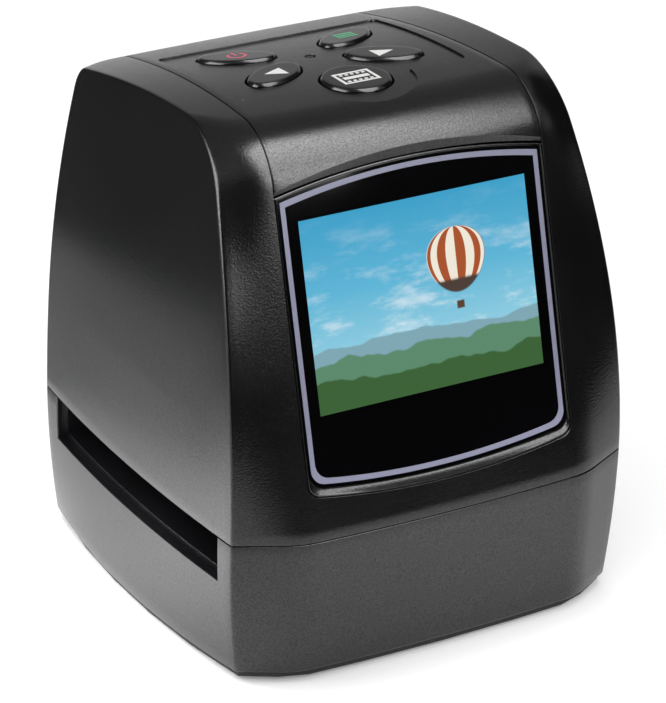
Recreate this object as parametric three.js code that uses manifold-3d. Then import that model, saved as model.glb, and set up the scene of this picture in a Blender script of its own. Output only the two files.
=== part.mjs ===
// Film negative scanner: a desk-top box with a colour screen on its sloping front, five keys on
// top and a tunnel from side to side that a film holder slides through.
// Millimetres, +Z up, front towards -Y. The origin is on the table, under the middle of the case.
import * as THREE from 'three';
import { mergeVertices } from 'three/addons/utils/BufferGeometryUtils.js';
import Module from 'manifold-3d';

const wasm = await Module();
wasm.setup();

// Fits that every piece shares
const wall = 2.2; // moulded wall of the case
const gap = 0.3; // between pieces that touch
const overrun = 6; // how far a cutting shape passes the surface that it cuts

// Outside of the case. Its height and width are worked out from the screen, its depth from the
// film channel
const mouthDepth = 65.9; // of the film tunnel's mouth, front to rear
const mouthToFront = 11.8; // from the mouth to the foot of the front
const mouthToRear = 10.7;
const seamHeight = 29.7; // parting line of base and upper housing
const chinRise = 5.7; // from there up to the screen's frame
const hoodRise = 6.8; // from the frame's head up to the highest line of the top
const crownSetBack = 1.9; // that line lies this far behind the rounding of the hood
const topRadius = 200; // arch of the top, front to rear
const baseUnderside = 2; // lower edge of the base moulding
const facetMargin = 2.5; // from the side of the screen's frame to the soft edge beside it
const softCornerReach = 3; // half of the rounding of that edge
const facetWidth = 11.7; // from there across the facet to the upright corner edge, at its widest
const cornerWidestDrop = 1.7; // that is this far below the parting line
const sideBulge = 1.8; // each side stands this much proud of its corner edges, up to the parting line
const cornerTopDraw = 6.3; // each corner edge leans in this much up to the crown
const cornerFloorDraw = 1.8; // and this much down to the floor
const sideTopDraw = 8.2; // the middle of each side leans in this much up to the crown
const sideMidY = 1;
const sideHalfSpan = 38; // from there to the corner edges
const frontTilt = THREE.MathUtils.degToRad(15.5);
const frontBow = 1.1; // the front stands this much proud at its middle
const floorTuck = 1; // front and rear lean in this much from the parting line to the floor
const facetDropFloor = 6.6; // the corner edge lies this far behind the middle of the front
const facetDropSeam = 7.1;
const facetDropLeast = 2.1;
const facetLeastRise = 36.3; // above the parting line
const rearFacetDrop = 5.1;
const rearLean = 4.9; // the rear leans in this much up to the crown
const rearLeanRise = 20.3; // from this far above the parting line
const frontTopRadius = 13;
const rearTopRadius = 3.5;

// Where the outlines of the case are taken: shares of the height above the parting line, of the two
// roundings, of half the front, of the corner facet and of the side from front to rear edge
const fine = {
  levelShares: [0, 0.07, 0.15, 0.3, 0.46, 0.62, 0.76],
  rearRoundShares: [0, 0.5, 0.8, 0.97],
  frontRoundShares: [0.27, 0.45, 0.62, 0.77, 0.89, 0.97],
};
const coarse = {
  levelShares: [0, 0.15, 0.4, 0.7],
  rearRoundShares: [0, 0.7],
  frontRoundShares: [0.27, 0.7, 0.95],
};
const frontShares = [0, 0.6];
const sideShares = [0.2, 0.4, 0.6, 0.8];

// Screen: u runs across, v up the slope and w out of the glass. v and w are 0 at the picture's middle
const surfaceLift = 1.25; // the front of the case stands this much above the glass
const picture = { width: 48.96, height: 36.72 };
const window = {
  side: 3.9, head: 4.8, headRise: 2.7, chin: 12.9, chinSag: 2.6, radius: 3, thick: 1.5,
};
const bezel = {
  side: 0.6, head: 1.8, headRise: 0.4, chin: 1.7, chinSag: 0.1, radius: 2.6, behindWall: 0.8, lip: 1,
  flange: 1.4, flangeThick: 1.5, postRadius: 1.5,
};
const screenModule = { side: 2.8, head: 2.8, chin: 4.1, thick: 3.5 };
const mainBoard = { width: 53, head: 24.6, chin: 31, thick: 1.6 };
const boardParts = { size: 9, height: 1.4 };

// Centre cover that runs from the screen's hood over the top and down the rear
const cover = {
  half: 28.9, taperAngle: THREE.MathUtils.degToRad(2.4), drop: 45.6, ledge: 2, ledgeThick: 1.5,
};

// Key panel on the cover, with sizes taken from the status light in its middle
const statusLed = { ahead: 3.4, tip: 0.9, body: 1.5, rim: 2, rimThick: 1, bodyShare: 0.62 };
const panel = { halfWidth: 23.4, rear: 16.6, front: 17.8, bulge: 11.5, depth: 0.5, corner: 1.6 };
const petal = { length: 15.4, width: 9.2, fromLedX: 12, fromLedY: 7.25 };
const scanKey = { diameter: 14.6, fromLed: 17.3 };
const key = {
  travel: 0.5, proud: 0.55, bevel: 0.75, slit: 0.35, flange: 1, flangeThick: 1.1, stemRadius: 1.6,
};
const keyBoard = {
  drop: 13, thick: 1.6, halfWidth: 24.4, front: 24.8, rear: 16.2, postX: 22.2, postInset: 3,
  postRadius: 1.8,
};
const tactSwitch = { size: 6, height: 3.5, plungerRadius: 1.6, plunger: 0.8, floor: 1 };

// Film tunnel through the base
const slot = { height: 9.2, step: 1.5, ledge: 1.8 };
const deckThick = 2.1;
const filmAperture = { x: 38, y: 27, flare: 2 };
const gate = { thick: 1.8, lap: 1.1 };

// Light under the film
const diffuser = { x: 40.4, y: 30.4, sunk: 0.2 };
const reflector = { rim: 1.8, wall: 1.6, throatX: 22, throatY: 14 };
const ledBoard = {
  x: 36, y: 26, thick: 1.6, lift: 4, chip: 3.4, chipHeight: 0.9, pitch: 7, postRadius: 2.4,
};

// Camera over the film
const tunnel = { bottomX: 44, bottomY: 34, top: 24, height: 25, wall: 1.8, post: 3, postHeight: 6 };
const lens = { radius: 6, length: 14, flange: 8.4, flangeThick: 1.4, above: 4.2, bore: 3.6 };
const sensorBoard = { size: 24, thick: 1.6, chip: 9, chipHeight: 1.1 };

// Sockets at the rear
const ioBoard = { width: 60, depth: 18, thick: 1.6, rise: 5.9 };
const usb = { x: -18, width: 7.8, height: 4, depth: 9.2, shell: 0.5, tongue: 1, proud: 0.4 };
const card = { x: 9, width: 28, height: 3.2, depth: 18, shell: 0.5, mouth: 24.6, mouthHeight: 2.3 };
const bracket = { width: 4, depth: 9, height: 2.6, xShare: 0.42 };

// Cables between the boards
const ribbon = { thick: 0.4, width: 10, narrow: 6, lap: 4, slack: 3, sag: 0.8, steps: 12 };
const lead = { radius: 0.9, sides: 8, x: 9, hole: 1.5, fromMouth: 4.1, bend: 3, steps: 36 };

// Underside
const plate = { setBack: 0.8, rim: 0.9, inner: 1.1, lift: 0.8, boss: 4, bossHeight: 2.3 };
const foot = { sideInset: 15, endInset: 20.2, radius: 4.5, height: 1.5, recess: 1 };
const screw = { fromSoftCorner: 3, fromMouth: 3.4, shank: 1.3, head: 2.6, headThick: 1.2 };
const screwBoss = { radius: 3.2, hole: 1.6, upper: 10, blind: 2 };

const frame = {
  half: picture.width / 2 + window.side + bezel.side,
  head: picture.height / 2 + window.head + bezel.head,
  headRise: window.headRise + bezel.headRise,
  foot: picture.height / 2 + window.chin + bezel.chin,
  footSag: window.chinSag + bezel.chinSag,
};
const screenHeight = seamHeight + chinRise + (frame.foot + frame.footSag) * Math.cos(frontTilt);
const crownHeight = screenHeight + (frame.head + frame.headRise) * Math.cos(frontTilt) + hoodRise;
const halfDepth = (mouthToFront + mouthDepth + mouthToRear) / 2;
const slopePerMm = Math.tan(frontTilt);
const softCornerX = frame.half + facetMargin;
const lowerHalf = softCornerX + facetWidth + sideBulge;
const farX = lowerHalf + overrun;
const topMost = crownHeight + overrun;

// Centre of the rounding between the front's slope and the top
const hoodRoundZ = crownHeight - frontTopRadius;
const hoodRoundY = (hoodRoundZ + frontTopRadius * Math.sin(frontTilt) - seamHeight) * slopePerMm
  - halfDepth + frontTopRadius * Math.cos(frontTilt);
const crownY = hoodRoundY + crownSetBack;
const ledY = (hoodRoundY + halfDepth) / 2 - statusLed.ahead;
const scanY = ledY - scanKey.fromLed;

const slotFrontY = mouthToFront - halfDepth;
const slotRearY = slotFrontY + mouthDepth;
const slotFloor = seamHeight - slot.height;
const leadY = slotFrontY - lead.fromMouth;
const channel = {
  frontY: slotFrontY + slot.step,
  rearY: slotRearY - slot.step,
  floor: slotFloor + slot.step,
};
const opticsY = (channel.frontY + channel.rearY) / 2;
const gateUnderside = seamHeight + gap;
const gateTop = gateUnderside + gate.thick;

// Turns a face list so that the faces point out of the solid
function turnedOutward(points, faces) {
  let volume = 0;
  for (const [a, b, c] of faces) {
    volume += points[a].dot(points[b].clone().cross(points[c]));
  }
  return volume > 0 ? faces : faces.map(([a, b, c]) => [a, c, b]);
}

function solidFrom(positions, indices) {
  const mesh = { numProp: 3, vertProperties: positions, triVerts: indices };
  return new wasm.Manifold(new wasm.Mesh(mesh));
}

function toSolid(geometry) {
  const bare = geometry.clone();
  bare.deleteAttribute('normal');
  bare.deleteAttribute('uv');
  const welded = mergeVertices(bare);
  const positions = new Float32Array(welded.attributes.position.array);
  return solidFrom(positions, new Uint32Array(welded.index.array));
}

// Solid skinned through convex rings that have the same number of points
function loft(rings) {
  const count = rings[0].length;
  const points = rings.flat();
  const faces = [];
  for (let ring = 0; ring + 1 < rings.length; ring += 1) {
    for (let i = 0; i < count; i += 1) {
      const a = ring * count + i;
      const b = ring * count + ((i + 1) % count);
      faces.push([a, b, b + count], [a, b + count, a + count]);
    }
  }
  const last = (rings.length - 1) * count;
  for (let i = 1; i + 1 < count; i += 1) {
    faces.push([0, i + 1, i], [last, last + i, last + i + 1]);
  }
  const positions = new Float32Array(points.flatMap((point) => point.toArray()));
  return solidFrom(positions, new Uint32Array(turnedOutward(points, faces).flat()));
}

function block(x0, x1, y0, y1, z0, z1) {
  const box = new THREE.BoxGeometry(x1 - x0, y1 - y0, z1 - z0);
  return toSolid(box.translate((x0 + x1) / 2, (y0 + y1) / 2, (z0 + z1) / 2));
}

function slab(z0, z1) {
  return block(-farX, farX, -farX, farX, z0, z1);
}

function post(x, y, z0, z1, radius, sides = 16) {
  const cylinder = new THREE.CylinderGeometry(radius, radius, z1 - z0, sides);
  return toSolid(cylinder.rotateX(Math.PI / 2).translate(x, y, (z0 + z1) / 2));
}

function prism(points, depth) {
  const outline = new THREE.Shape(points.map(([x, y]) => new THREE.Vector2(x, y)));
  return new THREE.ExtrudeGeometry(outline, { depth, bevelEnabled: false });
}

function planPrism(points, z0, z1) {
  return toSolid(prism(points, z1 - z0).translate(0, 0, z0));
}

// Outline of points of y and z, stretched across from x0 to x1
function crossPrism(points, x0, x1) {
  const outline = prism(points, x1 - x0).rotateX(Math.PI / 2).rotateZ(Math.PI / 2);
  return toSolid(outline.translate(x0, 0, 0));
}

function join(solids) {
  return solids.reduce((sum, solid) => sum.add(solid));
}

// Points of an arc that rounds the corner between the directions of a and b
function rounded(corner, a, b, radius, steps) {
  const toA = a.clone().sub(corner).normalize();
  const toB = b.clone().sub(corner).normalize();
  const half = Math.acos(toA.dot(toB)) / 2;
  const centre = toA.clone().add(toB).normalize().multiplyScalar(radius / Math.sin(half));
  centre.add(corner);
  const start = toA.multiplyScalar(radius / Math.tan(half)).add(corner).sub(centre);
  const sweep = (Math.PI - 2 * half) * Math.sign(start.cross(toB));
  const turn = (i) => start.clone().rotateAround(new THREE.Vector2(), (sweep * i) / steps);
  return Array.from({ length: steps + 1 }, (_, i) => turn(i).add(centre));
}

function archHeight(y) {
  return crownHeight - (y - crownY) ** 2 / (2 * topRadius);
}

function cornerX(z) {
  const widestZ = seamHeight - cornerWidestDrop;
  const above = z > widestZ;
  const span = (above ? crownHeight : baseUnderside) - widestZ;
  const draw = above ? cornerTopDraw : cornerFloorDraw;
  return softCornerX + facetWidth - draw * Math.min((z - widestZ) / span, 1) ** 2;
}

function sideX(y, z) {
  const rise = Math.max(z - seamHeight, 0) / (crownHeight - seamHeight);
  const middle = lowerHalf - sideTopDraw * rise ** 2;
  return middle - (middle - cornerX(z)) * ((y - sideMidY) / sideHalfSpan) ** 2;
}

// Half of the rounding of the soft edge, which the facet beside it limits
function softReach(z) {
  return Math.min(softCornerReach, (cornerX(z) - softCornerX) / 2);
}

// How far the surface at x falls back behind its middle line: the bow, then the corner facet
function setBack(x, z, facetDrop) {
  const past = Math.abs(x) - softCornerX;
  const reach = softReach(z);
  const blend = (past + reach) ** 2 / (4 * reach);
  const ramp = Math.abs(past) < reach ? blend : Math.max(past, 0);
  const bow = frontBow * Math.min(Math.abs(x) / softCornerX, 1) ** 2;
  return bow + (ramp * (facetDrop - frontBow)) / (cornerX(z) - softCornerX);
}

function facetDrop(z) {
  if (z < seamHeight) {
    const share = (z - baseUnderside) / (seamHeight - baseUnderside);
    return THREE.MathUtils.lerp(facetDropFloor, facetDropSeam, share);
  }
  const share = (z - seamHeight) / facetLeastRise - 1;
  return facetDropLeast + (facetDropSeam - facetDropLeast) * share ** 2;
}

function tuck(z) {
  return (floorTuck * Math.max(seamHeight - z, 0)) / (seamHeight - baseUnderside);
}

// Middle line of the front, rounded into the crown
function frontCurve(z, inset) {
  const radius = frontTopRadius - inset;
  const rise = (z - hoodRoundZ) / radius;
  if (rise > Math.sin(frontTilt)) {
    return hoodRoundY - radius * Math.sqrt(1 - Math.min(rise, 1) ** 2);
  }
  const slope = (z - seamHeight) * slopePerMm + inset / Math.cos(frontTilt);
  return (z < seamHeight ? inset : slope) - halfDepth;
}

function rearLine(z) {
  const leanZ = seamHeight + rearLeanRise;
  const rise = Math.max(z - leanZ, 0) / (crownHeight - leanZ);
  return halfDepth - rearLean * rise ** 2;
}

const rearRoundZ = archHeight(rearLine(archHeight(halfDepth)) - rearTopRadius) - rearTopRadius;

function rearRadius(inset) {
  return Math.max(rearTopRadius - inset, gap);
}

// Middle line of the rear, rounded into the top
function rearCurve(z, inset) {
  const radius = rearRadius(inset);
  const rise = Math.min(Math.max(z - rearRoundZ, 0) / radius, 1);
  return rearLine(z) - inset - radius * (1 - Math.sqrt(1 - rise ** 2));
}

function frontY(x, z, inset) {
  return frontCurve(z, inset) + tuck(z) + setBack(x, z, facetDrop(z));
}

function rearY(x, z, inset) {
  return rearCurve(z, inset) - tuck(z) - setBack(x, z, rearFacetDrop);
}

// Outline of the case at the height z, drawn in by inset, as points of x and y
function caseOutline(z, inset) {
  const flat = softCornerX - softReach(z);
  const corner = cornerX(z);
  const stations = [
    ...frontShares.map((share) => share * flat), flat, softCornerX + softReach(z), corner,
  ];
  const drawnX = (x) => x - (inset * Math.max(x - flat, 0)) / (corner - flat);
  const front = stations.map((x) => [drawnX(x), frontY(x, z, inset)]);
  const rear = stations.map((x) => [drawnX(x), rearY(x, z, inset)]);
  const frontEdge = front.at(-1)[1];
  const rearEdge = rear.at(-1)[1];
  const side = sideShares.map((share) => {
    const y = THREE.MathUtils.lerp(frontEdge, rearEdge, share);
    return [sideX(y, z) - inset, y];
  });
  const right = [...front, ...side, ...rear.reverse()];
  return [...right, ...right.slice(1, -1).map(([x, y]) => [-x, y]).reverse()];
}

// Everything below the arched top, drawn in by inset
function underArch(inset) {
  const steps = 8;
  const stops = Array.from({ length: steps + 1 }, (_, i) => farX * (1 - (2 * i) / steps));
  const arch = stops.map((y) => [y, archHeight(y) - inset]);
  return crossPrism([[-farX, -farX], [farX, -farX], ...arch], -farX, farX);
}

// The case as a full solid, drawn in by inset, from the height low upwards
function caseBody(inset, low, detail = coarse) {
  const level = (share) => THREE.MathUtils.lerp(seamHeight, crownHeight, share);
  const levels = [
    low,
    (baseUnderside + seamHeight) / 2,
    ...detail.levelShares.map(level),
    ...detail.rearRoundShares.map((share) => rearRoundZ + share * rearRadius(inset)),
    ...detail.frontRoundShares.map((share) => hoodRoundZ + share * (frontTopRadius - inset)),
    topMost,
  ].sort((a, b) => a - b);
  const ring = (z) => caseOutline(z, inset).map(([x, y]) => new THREE.Vector3(x, y, z));
  return loft(levels.map(ring)).intersect(underArch(inset));
}

const outerBody = caseBody(0, baseUnderside, fine);
const innerBody = caseBody(wall, -overrun);

// The screen's pieces are made lying flat, in u, v and w, and this group stands them in the case
const screenGroup = new THREE.Group();
screenGroup.rotation.x = Math.PI / 2 - frontTilt;
screenGroup.position.y = (screenHeight - seamHeight) * slopePerMm - halfDepth
  + surfaceLift / Math.cos(frontTilt);
screenGroup.position.z = screenHeight;
screenGroup.updateMatrix();

// Outline on the screen's slope with upright sides, an arched head and a sagging foot
function archedOutline({ half, head, headRise, foot, footSag, radius }) {
  const steps = 8;
  const arc = (x) => 1 - (x / half) ** 2;
  const footPoint = (x) => new THREE.Vector2(x, -foot - footSag * arc(x));
  const corner = rounded(footPoint(half), new THREE.Vector2(half, 0),
    footPoint(half - 2 * radius), radius, 4);
  const sweep = Array.from({ length: steps + 1 }, (_, i) => 1 - (2 * i) / steps);
  return [
    ...corner.map(({ x, y }) => [-x, y]).reverse(),
    ...sweep.map((share) => [-share * half, head + headRise * arc(share * half)]),
    ...corner.map(({ x, y }) => [x, y]),
    ...sweep.slice(1, -1).map((share) => {
      const low = footPoint(share * (half - 2 * radius));
      return [low.x, low.y];
    }),
  ];
}

function windowOutline(grow) {
  return archedOutline({
    half: picture.width / 2 + window.side + grow,
    head: picture.height / 2 + window.head + grow,
    headRise: window.headRise,
    foot: picture.height / 2 + window.chin + grow,
    footSag: window.chinSag,
    radius: window.radius,
  });
}

function bezelOutline(grow) {
  return archedOutline({
    ...frame,
    half: frame.half + grow,
    head: frame.head + grow,
    foot: frame.foot + grow,
    radius: bezel.radius,
  });
}

function screenOpening(grow) {
  const cut = prism(bezelOutline(grow), 4 * wall + overrun).translate(0, 0, -4 * wall);
  return toSolid(cut.applyMatrix4(screenGroup.matrix));
}

// Space that the centre cover fills, drawn in by shrink at its seams
function coverSpace(shrink) {
  const cornerY = screenGroup.position.y + frame.head * Math.sin(frontTilt);
  const half = (y) => cover.half - (y - cornerY) * Math.tan(cover.taperAngle) - shrink;
  const plan = [
    [-half(-farX), -farX], [half(-farX), -farX], [half(farX), farX], [-half(farX), farX],
  ];
  const hoodHeight = screenHeight + frame.head * Math.cos(frontTilt) - wall;
  const frontPart = block(-farX, farX, -farX, overrun, hoodHeight, topMost);
  const rearPart = block(-farX, farX, 0, farX, crownHeight - cover.drop + shrink, topMost);
  return planPrism(plan, 0, topMost).intersect(frontPart.add(rearPart));
}

// Ledge behind the cover's seams, so that nothing shows through them
function coverLedge() {
  const reach = coverSpace(-cover.ledge).subtract(coverSpace(cover.ledge));
  const back = caseBody(wall + gap + cover.ledgeThick, -overrun);
  const ring = caseBody(wall / 2, -overrun).subtract(back).intersect(reach);
  return ring.subtract(screenOpening(bezel.flange + gap));
}

function screwPlaces() {
  const x = softCornerX + screw.fromSoftCorner;
  const rows = [['front', slotFrontY - screw.fromMouth], ['rear', slotRearY + screw.fromMouth]];
  return rows.flatMap(([end, y]) => [[`${end}_left`, -x, y], [`${end}_right`, x, y]]);
}

function socketOpening(socket, floor, grow) {
  return block(socket.x - socket.width / 2 - grow, socket.x + socket.width / 2 + grow,
    halfDepth - socket.depth, farX, floor - grow, floor + socket.height + grow);
}

const screwEnd = seamHeight + screwBoss.upper - screwBoss.blind - gap;
const ioUnderside = seamHeight + ioBoard.rise;
const ioTop = ioUnderside + ioBoard.thick;
const keyBoardTop = crownHeight - keyBoard.drop;
const socketFloor = ioTop + gap;

function upperHousing() {
  const seat = coverSpace(0).subtract(caseBody(wall + gap, -overrun));
  const shell = outerBody.subtract(innerBody).intersect(slab(seamHeight + gap / 2, topMost))
    .subtract(screenOpening(0)).add(coverLedge()).subtract(seat);
  const bosses = screwPlaces().map(([, x, y]) => post(x, y, seamHeight + gap / 2,
    seamHeight + screwBoss.upper, screwBoss.radius));
  const brackets = [-1, 1].map((side) => {
    const x = side * bracket.xShare * ioBoard.width;
    return block(x - bracket.width / 2, x + bracket.width / 2, halfDepth - bracket.depth,
      halfDepth, ioUnderside - gap - bracket.height, ioUnderside - gap);
  });
  const inside = join([...bosses, ...brackets]).intersect(caseBody(wall / 2, -overrun));
  const holes = screwPlaces().map(([, x, y]) => post(x, y, 0, screwEnd + gap, screwBoss.hole, 12));
  return shell.add(inside).subtract(join([
    ...holes, socketOpening(usb, socketFloor, gap), socketOpening(card, socketFloor, gap),
  ]));
}

// Keys on the cover: four petals round the status light and the round scan key in front of them
function petalKeys() {
  const places = { power: [-1, 1], left: [-1, -1], menu: [1, 1], right: [1, -1] };
  return Object.entries(places).map(([name, [acrossSign, rearSign]]) => ({
    name: `${name}_key`,
    x: acrossSign * petal.fromLedX,
    y: ledY + rearSign * petal.fromLedY,
    angle: Math.atan2(rearSign * petal.fromLedY, acrossSign * petal.fromLedX),
    long: petal.length / 2,
    short: petal.width / 2,
  }));
}

const scanRadius = scanKey.diameter / 2;
const keys = [
  ...petalKeys(),
  { name: 'scan_key', x: 0, y: scanY, angle: 0, long: scanRadius, short: scanRadius },
];

// Ring of an oval key, in a plane that slopes like the case does there
function keyRing(spec, grow, lift, sides = 24) {
  const tilt = (crownY - spec.y) / topRadius;
  return Array.from({ length: sides }, (_, i) => {
    const turn = (i / sides) * 2 * Math.PI;
    const oval = new THREE.Vector2(Math.cos(turn), Math.sin(turn));
    oval.multiply(new THREE.Vector2(spec.long + grow, spec.short + grow));
    oval.rotateAround(new THREE.Vector2(), spec.angle);
    const z = archHeight(spec.y) + tilt * oval.y + lift;
    return new THREE.Vector3(spec.x + oval.x, spec.y + oval.y, z);
  });
}

function panelOutline() {
  const steps = 10;
  const left = -panel.halfWidth;
  const rearEdge = ledY + panel.rear;
  const bulge = Array.from({ length: steps + 1 }, (_, i) => {
    const turn = Math.PI + (Math.PI * i) / steps;
    return [panel.bulge * Math.cos(turn), scanY + panel.bulge * Math.sin(turn)];
  });
  return [
    [left, ledY - panel.front], ...bulge, [-left, ledY - panel.front],
    [-left, rearEdge - panel.corner], [-left - panel.corner, rearEdge],
    [left + panel.corner, rearEdge], [left, rearEdge - panel.corner],
  ];
}

function keyBoardPosts() {
  const rows = [ledY - keyBoard.front + keyBoard.postInset, ledY + keyBoard.rear - keyBoard.postInset];
  return rows.flatMap((y) => [[-keyBoard.postX, y], [keyBoard.postX, y]]);
}

function topCover() {
  const shell = outerBody.subtract(innerBody).intersect(coverSpace(gap)).subtract(screenOpening(0));
  const recess = planPrism(panelOutline(), seamHeight, topMost)
    .subtract(caseBody(panel.depth, 0, fine));
  const holes = keys.map((spec) => loft([
    keyRing(spec, key.slit, -overrun), keyRing(spec, key.slit, overrun),
  ]));
  const ledHole = post(0, ledY, keyBoardTop, topMost, statusLed.tip + gap, 12);
  const posts = keyBoardPosts().map(([x, y]) => post(x, y, keyBoardTop + gap, topMost,
    keyBoard.postRadius, 12));
  const hung = join(posts).intersect(caseBody(wall / 2 + panel.depth, 0));
  return shell.subtract(recess).add(hung).subtract(join([...holes, ledHole]));
}

function keyCap(spec) {
  const under = -wall - gap;
  const body = loft([
    keyRing(spec, key.flange, under - key.flangeThick),
    keyRing(spec, key.flange, under),
    keyRing(spec, 0, under),
    keyRing(spec, 0, 0),
    keyRing(spec, -key.bevel, key.proud),
  ]);
  const stemTop = archHeight(spec.y) + under - key.flangeThick / 2;
  return body.add(post(spec.x, spec.y, plungerTop + gap, stemTop, key.stemRadius, 12));
}

const switchTop = keyBoardTop + tactSwitch.height;
const plungerTop = switchTop + tactSwitch.plunger;
const switchFloor = keyBoardTop + gap + tactSwitch.floor;

// Push switch under a key: a box with a round well
function tactSwitchBody(spec) {
  const half = tactSwitch.size / 2;
  const body = block(spec.x - half, spec.x + half, spec.y - half, spec.y + half,
    keyBoardTop + gap, switchTop);
  return body.subtract(post(spec.x, spec.y, switchFloor, topMost, tactSwitch.plungerRadius + gap));
}

// Button of that switch, which the key's stem pushes down
function switchPlunger(spec) {
  return post(spec.x, spec.y, switchFloor + key.travel + gap, plungerTop, tactSwitch.plungerRadius);
}

function keyBoardPlate() {
  return block(-keyBoard.halfWidth, keyBoard.halfWidth, ledY - keyBoard.front, ledY + keyBoard.rear,
    keyBoardTop - keyBoard.thick, keyBoardTop);
}

function statusLight() {
  const foot = keyBoardTop + gap;
  const tip = archHeight(ledY) - panel.depth;
  const shoulder = THREE.MathUtils.lerp(foot, tip, statusLed.bodyShare);
  const profile = [
    [0, foot], [statusLed.rim, foot], [statusLed.rim, foot + statusLed.rimThick],
    [statusLed.body, foot + statusLed.rimThick], [statusLed.body, shoulder],
    [statusLed.tip, shoulder + statusLed.rimThick], [statusLed.tip, tip], [0, tip],
  ];
  const lathe = new THREE.LatheGeometry(profile.map(([r, z]) => new THREE.Vector2(r, z)), 12);
  return toSolid(lathe.rotateX(Math.PI / 2).translate(0, ledY, 0));
}

const bezelDeep = wall + bezel.behindWall;

// Frame round the glass: a dished crescent under the hood and another above the chin
function screenBezel() {
  const body = planPrism(bezelOutline(-gap), -bezelDeep, bezel.lip);
  const flange = planPrism(bezelOutline(bezel.flange), -bezelDeep - bezel.flangeThick, -bezelDeep);
  const ring = (points, w) => points.map(([u, v]) => new THREE.Vector3(u, v, w));
  const dish = loft([
    ring(windowOutline(gap), 0), ring(bezelOutline(-2 * gap), bezel.lip),
    ring(bezelOutline(-2 * gap), overrun),
  ]);
  const pocket = planPrism(windowOutline(gap), -window.thick - gap, overrun);
  const halfU = picture.width / 2 + screenModule.side + gap;
  const opening = block(-halfU, halfU, -picture.height / 2 - screenModule.chin - gap,
    picture.height / 2 + screenModule.head + gap, -overrun, overrun);
  return body.add(flange).add(bezelPosts()).subtract(join([dish, pocket, opening]));
}

const moduleFront = -window.thick - gap;
const boardFront = moduleFront - screenModule.thick - gap;
const boardBack = boardFront - mainBoard.thick;

function bezelPosts() {
  const u = mainBoard.width / 2 - 2 * bezel.postRadius;
  const low = bezel.postRadius - mainBoard.chin + 2 * gap;
  const places = [-1, 1].flatMap((side) => [
    [side * u, low], [side * u, mainBoard.head - bezel.postRadius],
  ]);
  return join(places.map(([across, up]) => post(across, up, boardFront + gap, gap - bezelDeep,
    bezel.postRadius, 12)));
}

function screenWindow() {
  return planPrism(windowOutline(0), -window.thick, 0);
}

function screenPanel() {
  const halfU = picture.width / 2 + screenModule.side;
  return block(-halfU, halfU, -picture.height / 2 - screenModule.chin,
    picture.height / 2 + screenModule.head, moduleFront - screenModule.thick, moduleFront);
}

function mainCircuitBoard() {
  const half = mainBoard.width / 2;
  const board = block(-half, half, -mainBoard.chin, mainBoard.head, boardBack, boardFront);
  const { size, height } = boardParts;
  const chip = block(-size, size / 3, -size, size / 3, boardBack - height, boardFront - gap);
  const memory = block(size, 2 * size, 0, size, boardBack - height, boardFront - gap);
  return join([board, chip, memory]);
}

// Base with the film tunnel through it; hollow from below
function baseHousing() {
  const top = seamHeight - gap / 2;
  const blocky = outerBody.intersect(slab(0, top));
  const mouth = block(-farX, farX, slotFrontY, slotRearY, slotFloor, topMost)
    .subtract(caseBody(slot.ledge, 0));
  const passage = block(-farX, farX, channel.frontY, channel.rearY, channel.floor, topMost);
  const underDeck = slab(-overrun, slotFloor - deckThick);
  const deepX = sideX(sideHalfSpan, seamHeight) - slot.ledge - wall;
  const underPassage = block(-deepX, deepX, channel.frontY, channel.rearY, -overrun,
    channel.floor - deckThick);
  const endTop = top - deckThick;
  const frontEnd = block(-farX, farX, -farX, slotFrontY - wall, -overrun, endTop);
  const rearEnd = block(-farX, farX, slotRearY + wall, farX, -overrun, endTop);
  const hollow = join([underDeck, underPassage, frontEnd, rearEnd]).intersect(innerBody);
  const bosses = join(screwPlaces().map(([, x, y]) => post(x, y, plateBossTop + gap, top,
    screwBoss.radius))).intersect(caseBody(wall / 2, -overrun));
  const holes = screwPlaces().map(([, x, y]) => post(x, y, 0, topMost, screwBoss.hole, 12));
  const leadHole = post(lead.x, leadY, slotFloor, topMost, lead.hole, 12);
  const halfX = diffuser.x / 2 + gap;
  const halfY = diffuser.y / 2 + gap;
  const light = block(-halfX, halfX, opticsY - halfY, opticsY + halfY, seamHeight / 3, topMost);
  return blocky.subtract(join([mouth, passage, hollow])).add(bosses)
    .subtract(join([...holes, light, leadHole]));
}

// Four-sided funnel between two levels
function funnel(bottomX, bottomY, z0, topX, topY, z1) {
  const ring = (x, y, z) => [[-1, -1], [1, -1], [1, 1], [-1, 1]].map(([sideU, sideV]) => (
    new THREE.Vector3((sideU * x) / 2, opticsY + (sideV * y) / 2, z)));
  return loft([ring(bottomX, bottomY, z0), ring(topX, topY, z1)]);
}

function filmGate() {
  const body = block(-farX, farX, channel.frontY - gate.lap, channel.rearY + gate.lap,
    gateUnderside, gateTop).intersect(caseBody(wall + gap, -overrun));
  const { x, y, flare } = filmAperture;
  return body.subtract(funnel(x, y, gateUnderside - gap, x + flare, y + flare, gateTop + gap));
}

const plateBossTop = plate.lift + plate.rim + plate.bossHeight;
const reflectorTop = channel.floor - deckThick - gap;
const diffuserTop = channel.floor - diffuser.sunk;
const ledBoardTop = plate.lift + plate.rim + ledBoard.lift + ledBoard.thick;
const reflectorFoot = ledBoardTop + gap;

function diffuserPlate() {
  const bottom = reflectorTop + gap;
  return block(-diffuser.x / 2, diffuser.x / 2, opticsY - diffuser.y / 2, opticsY + diffuser.y / 2,
    bottom, diffuserTop);
}

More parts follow.
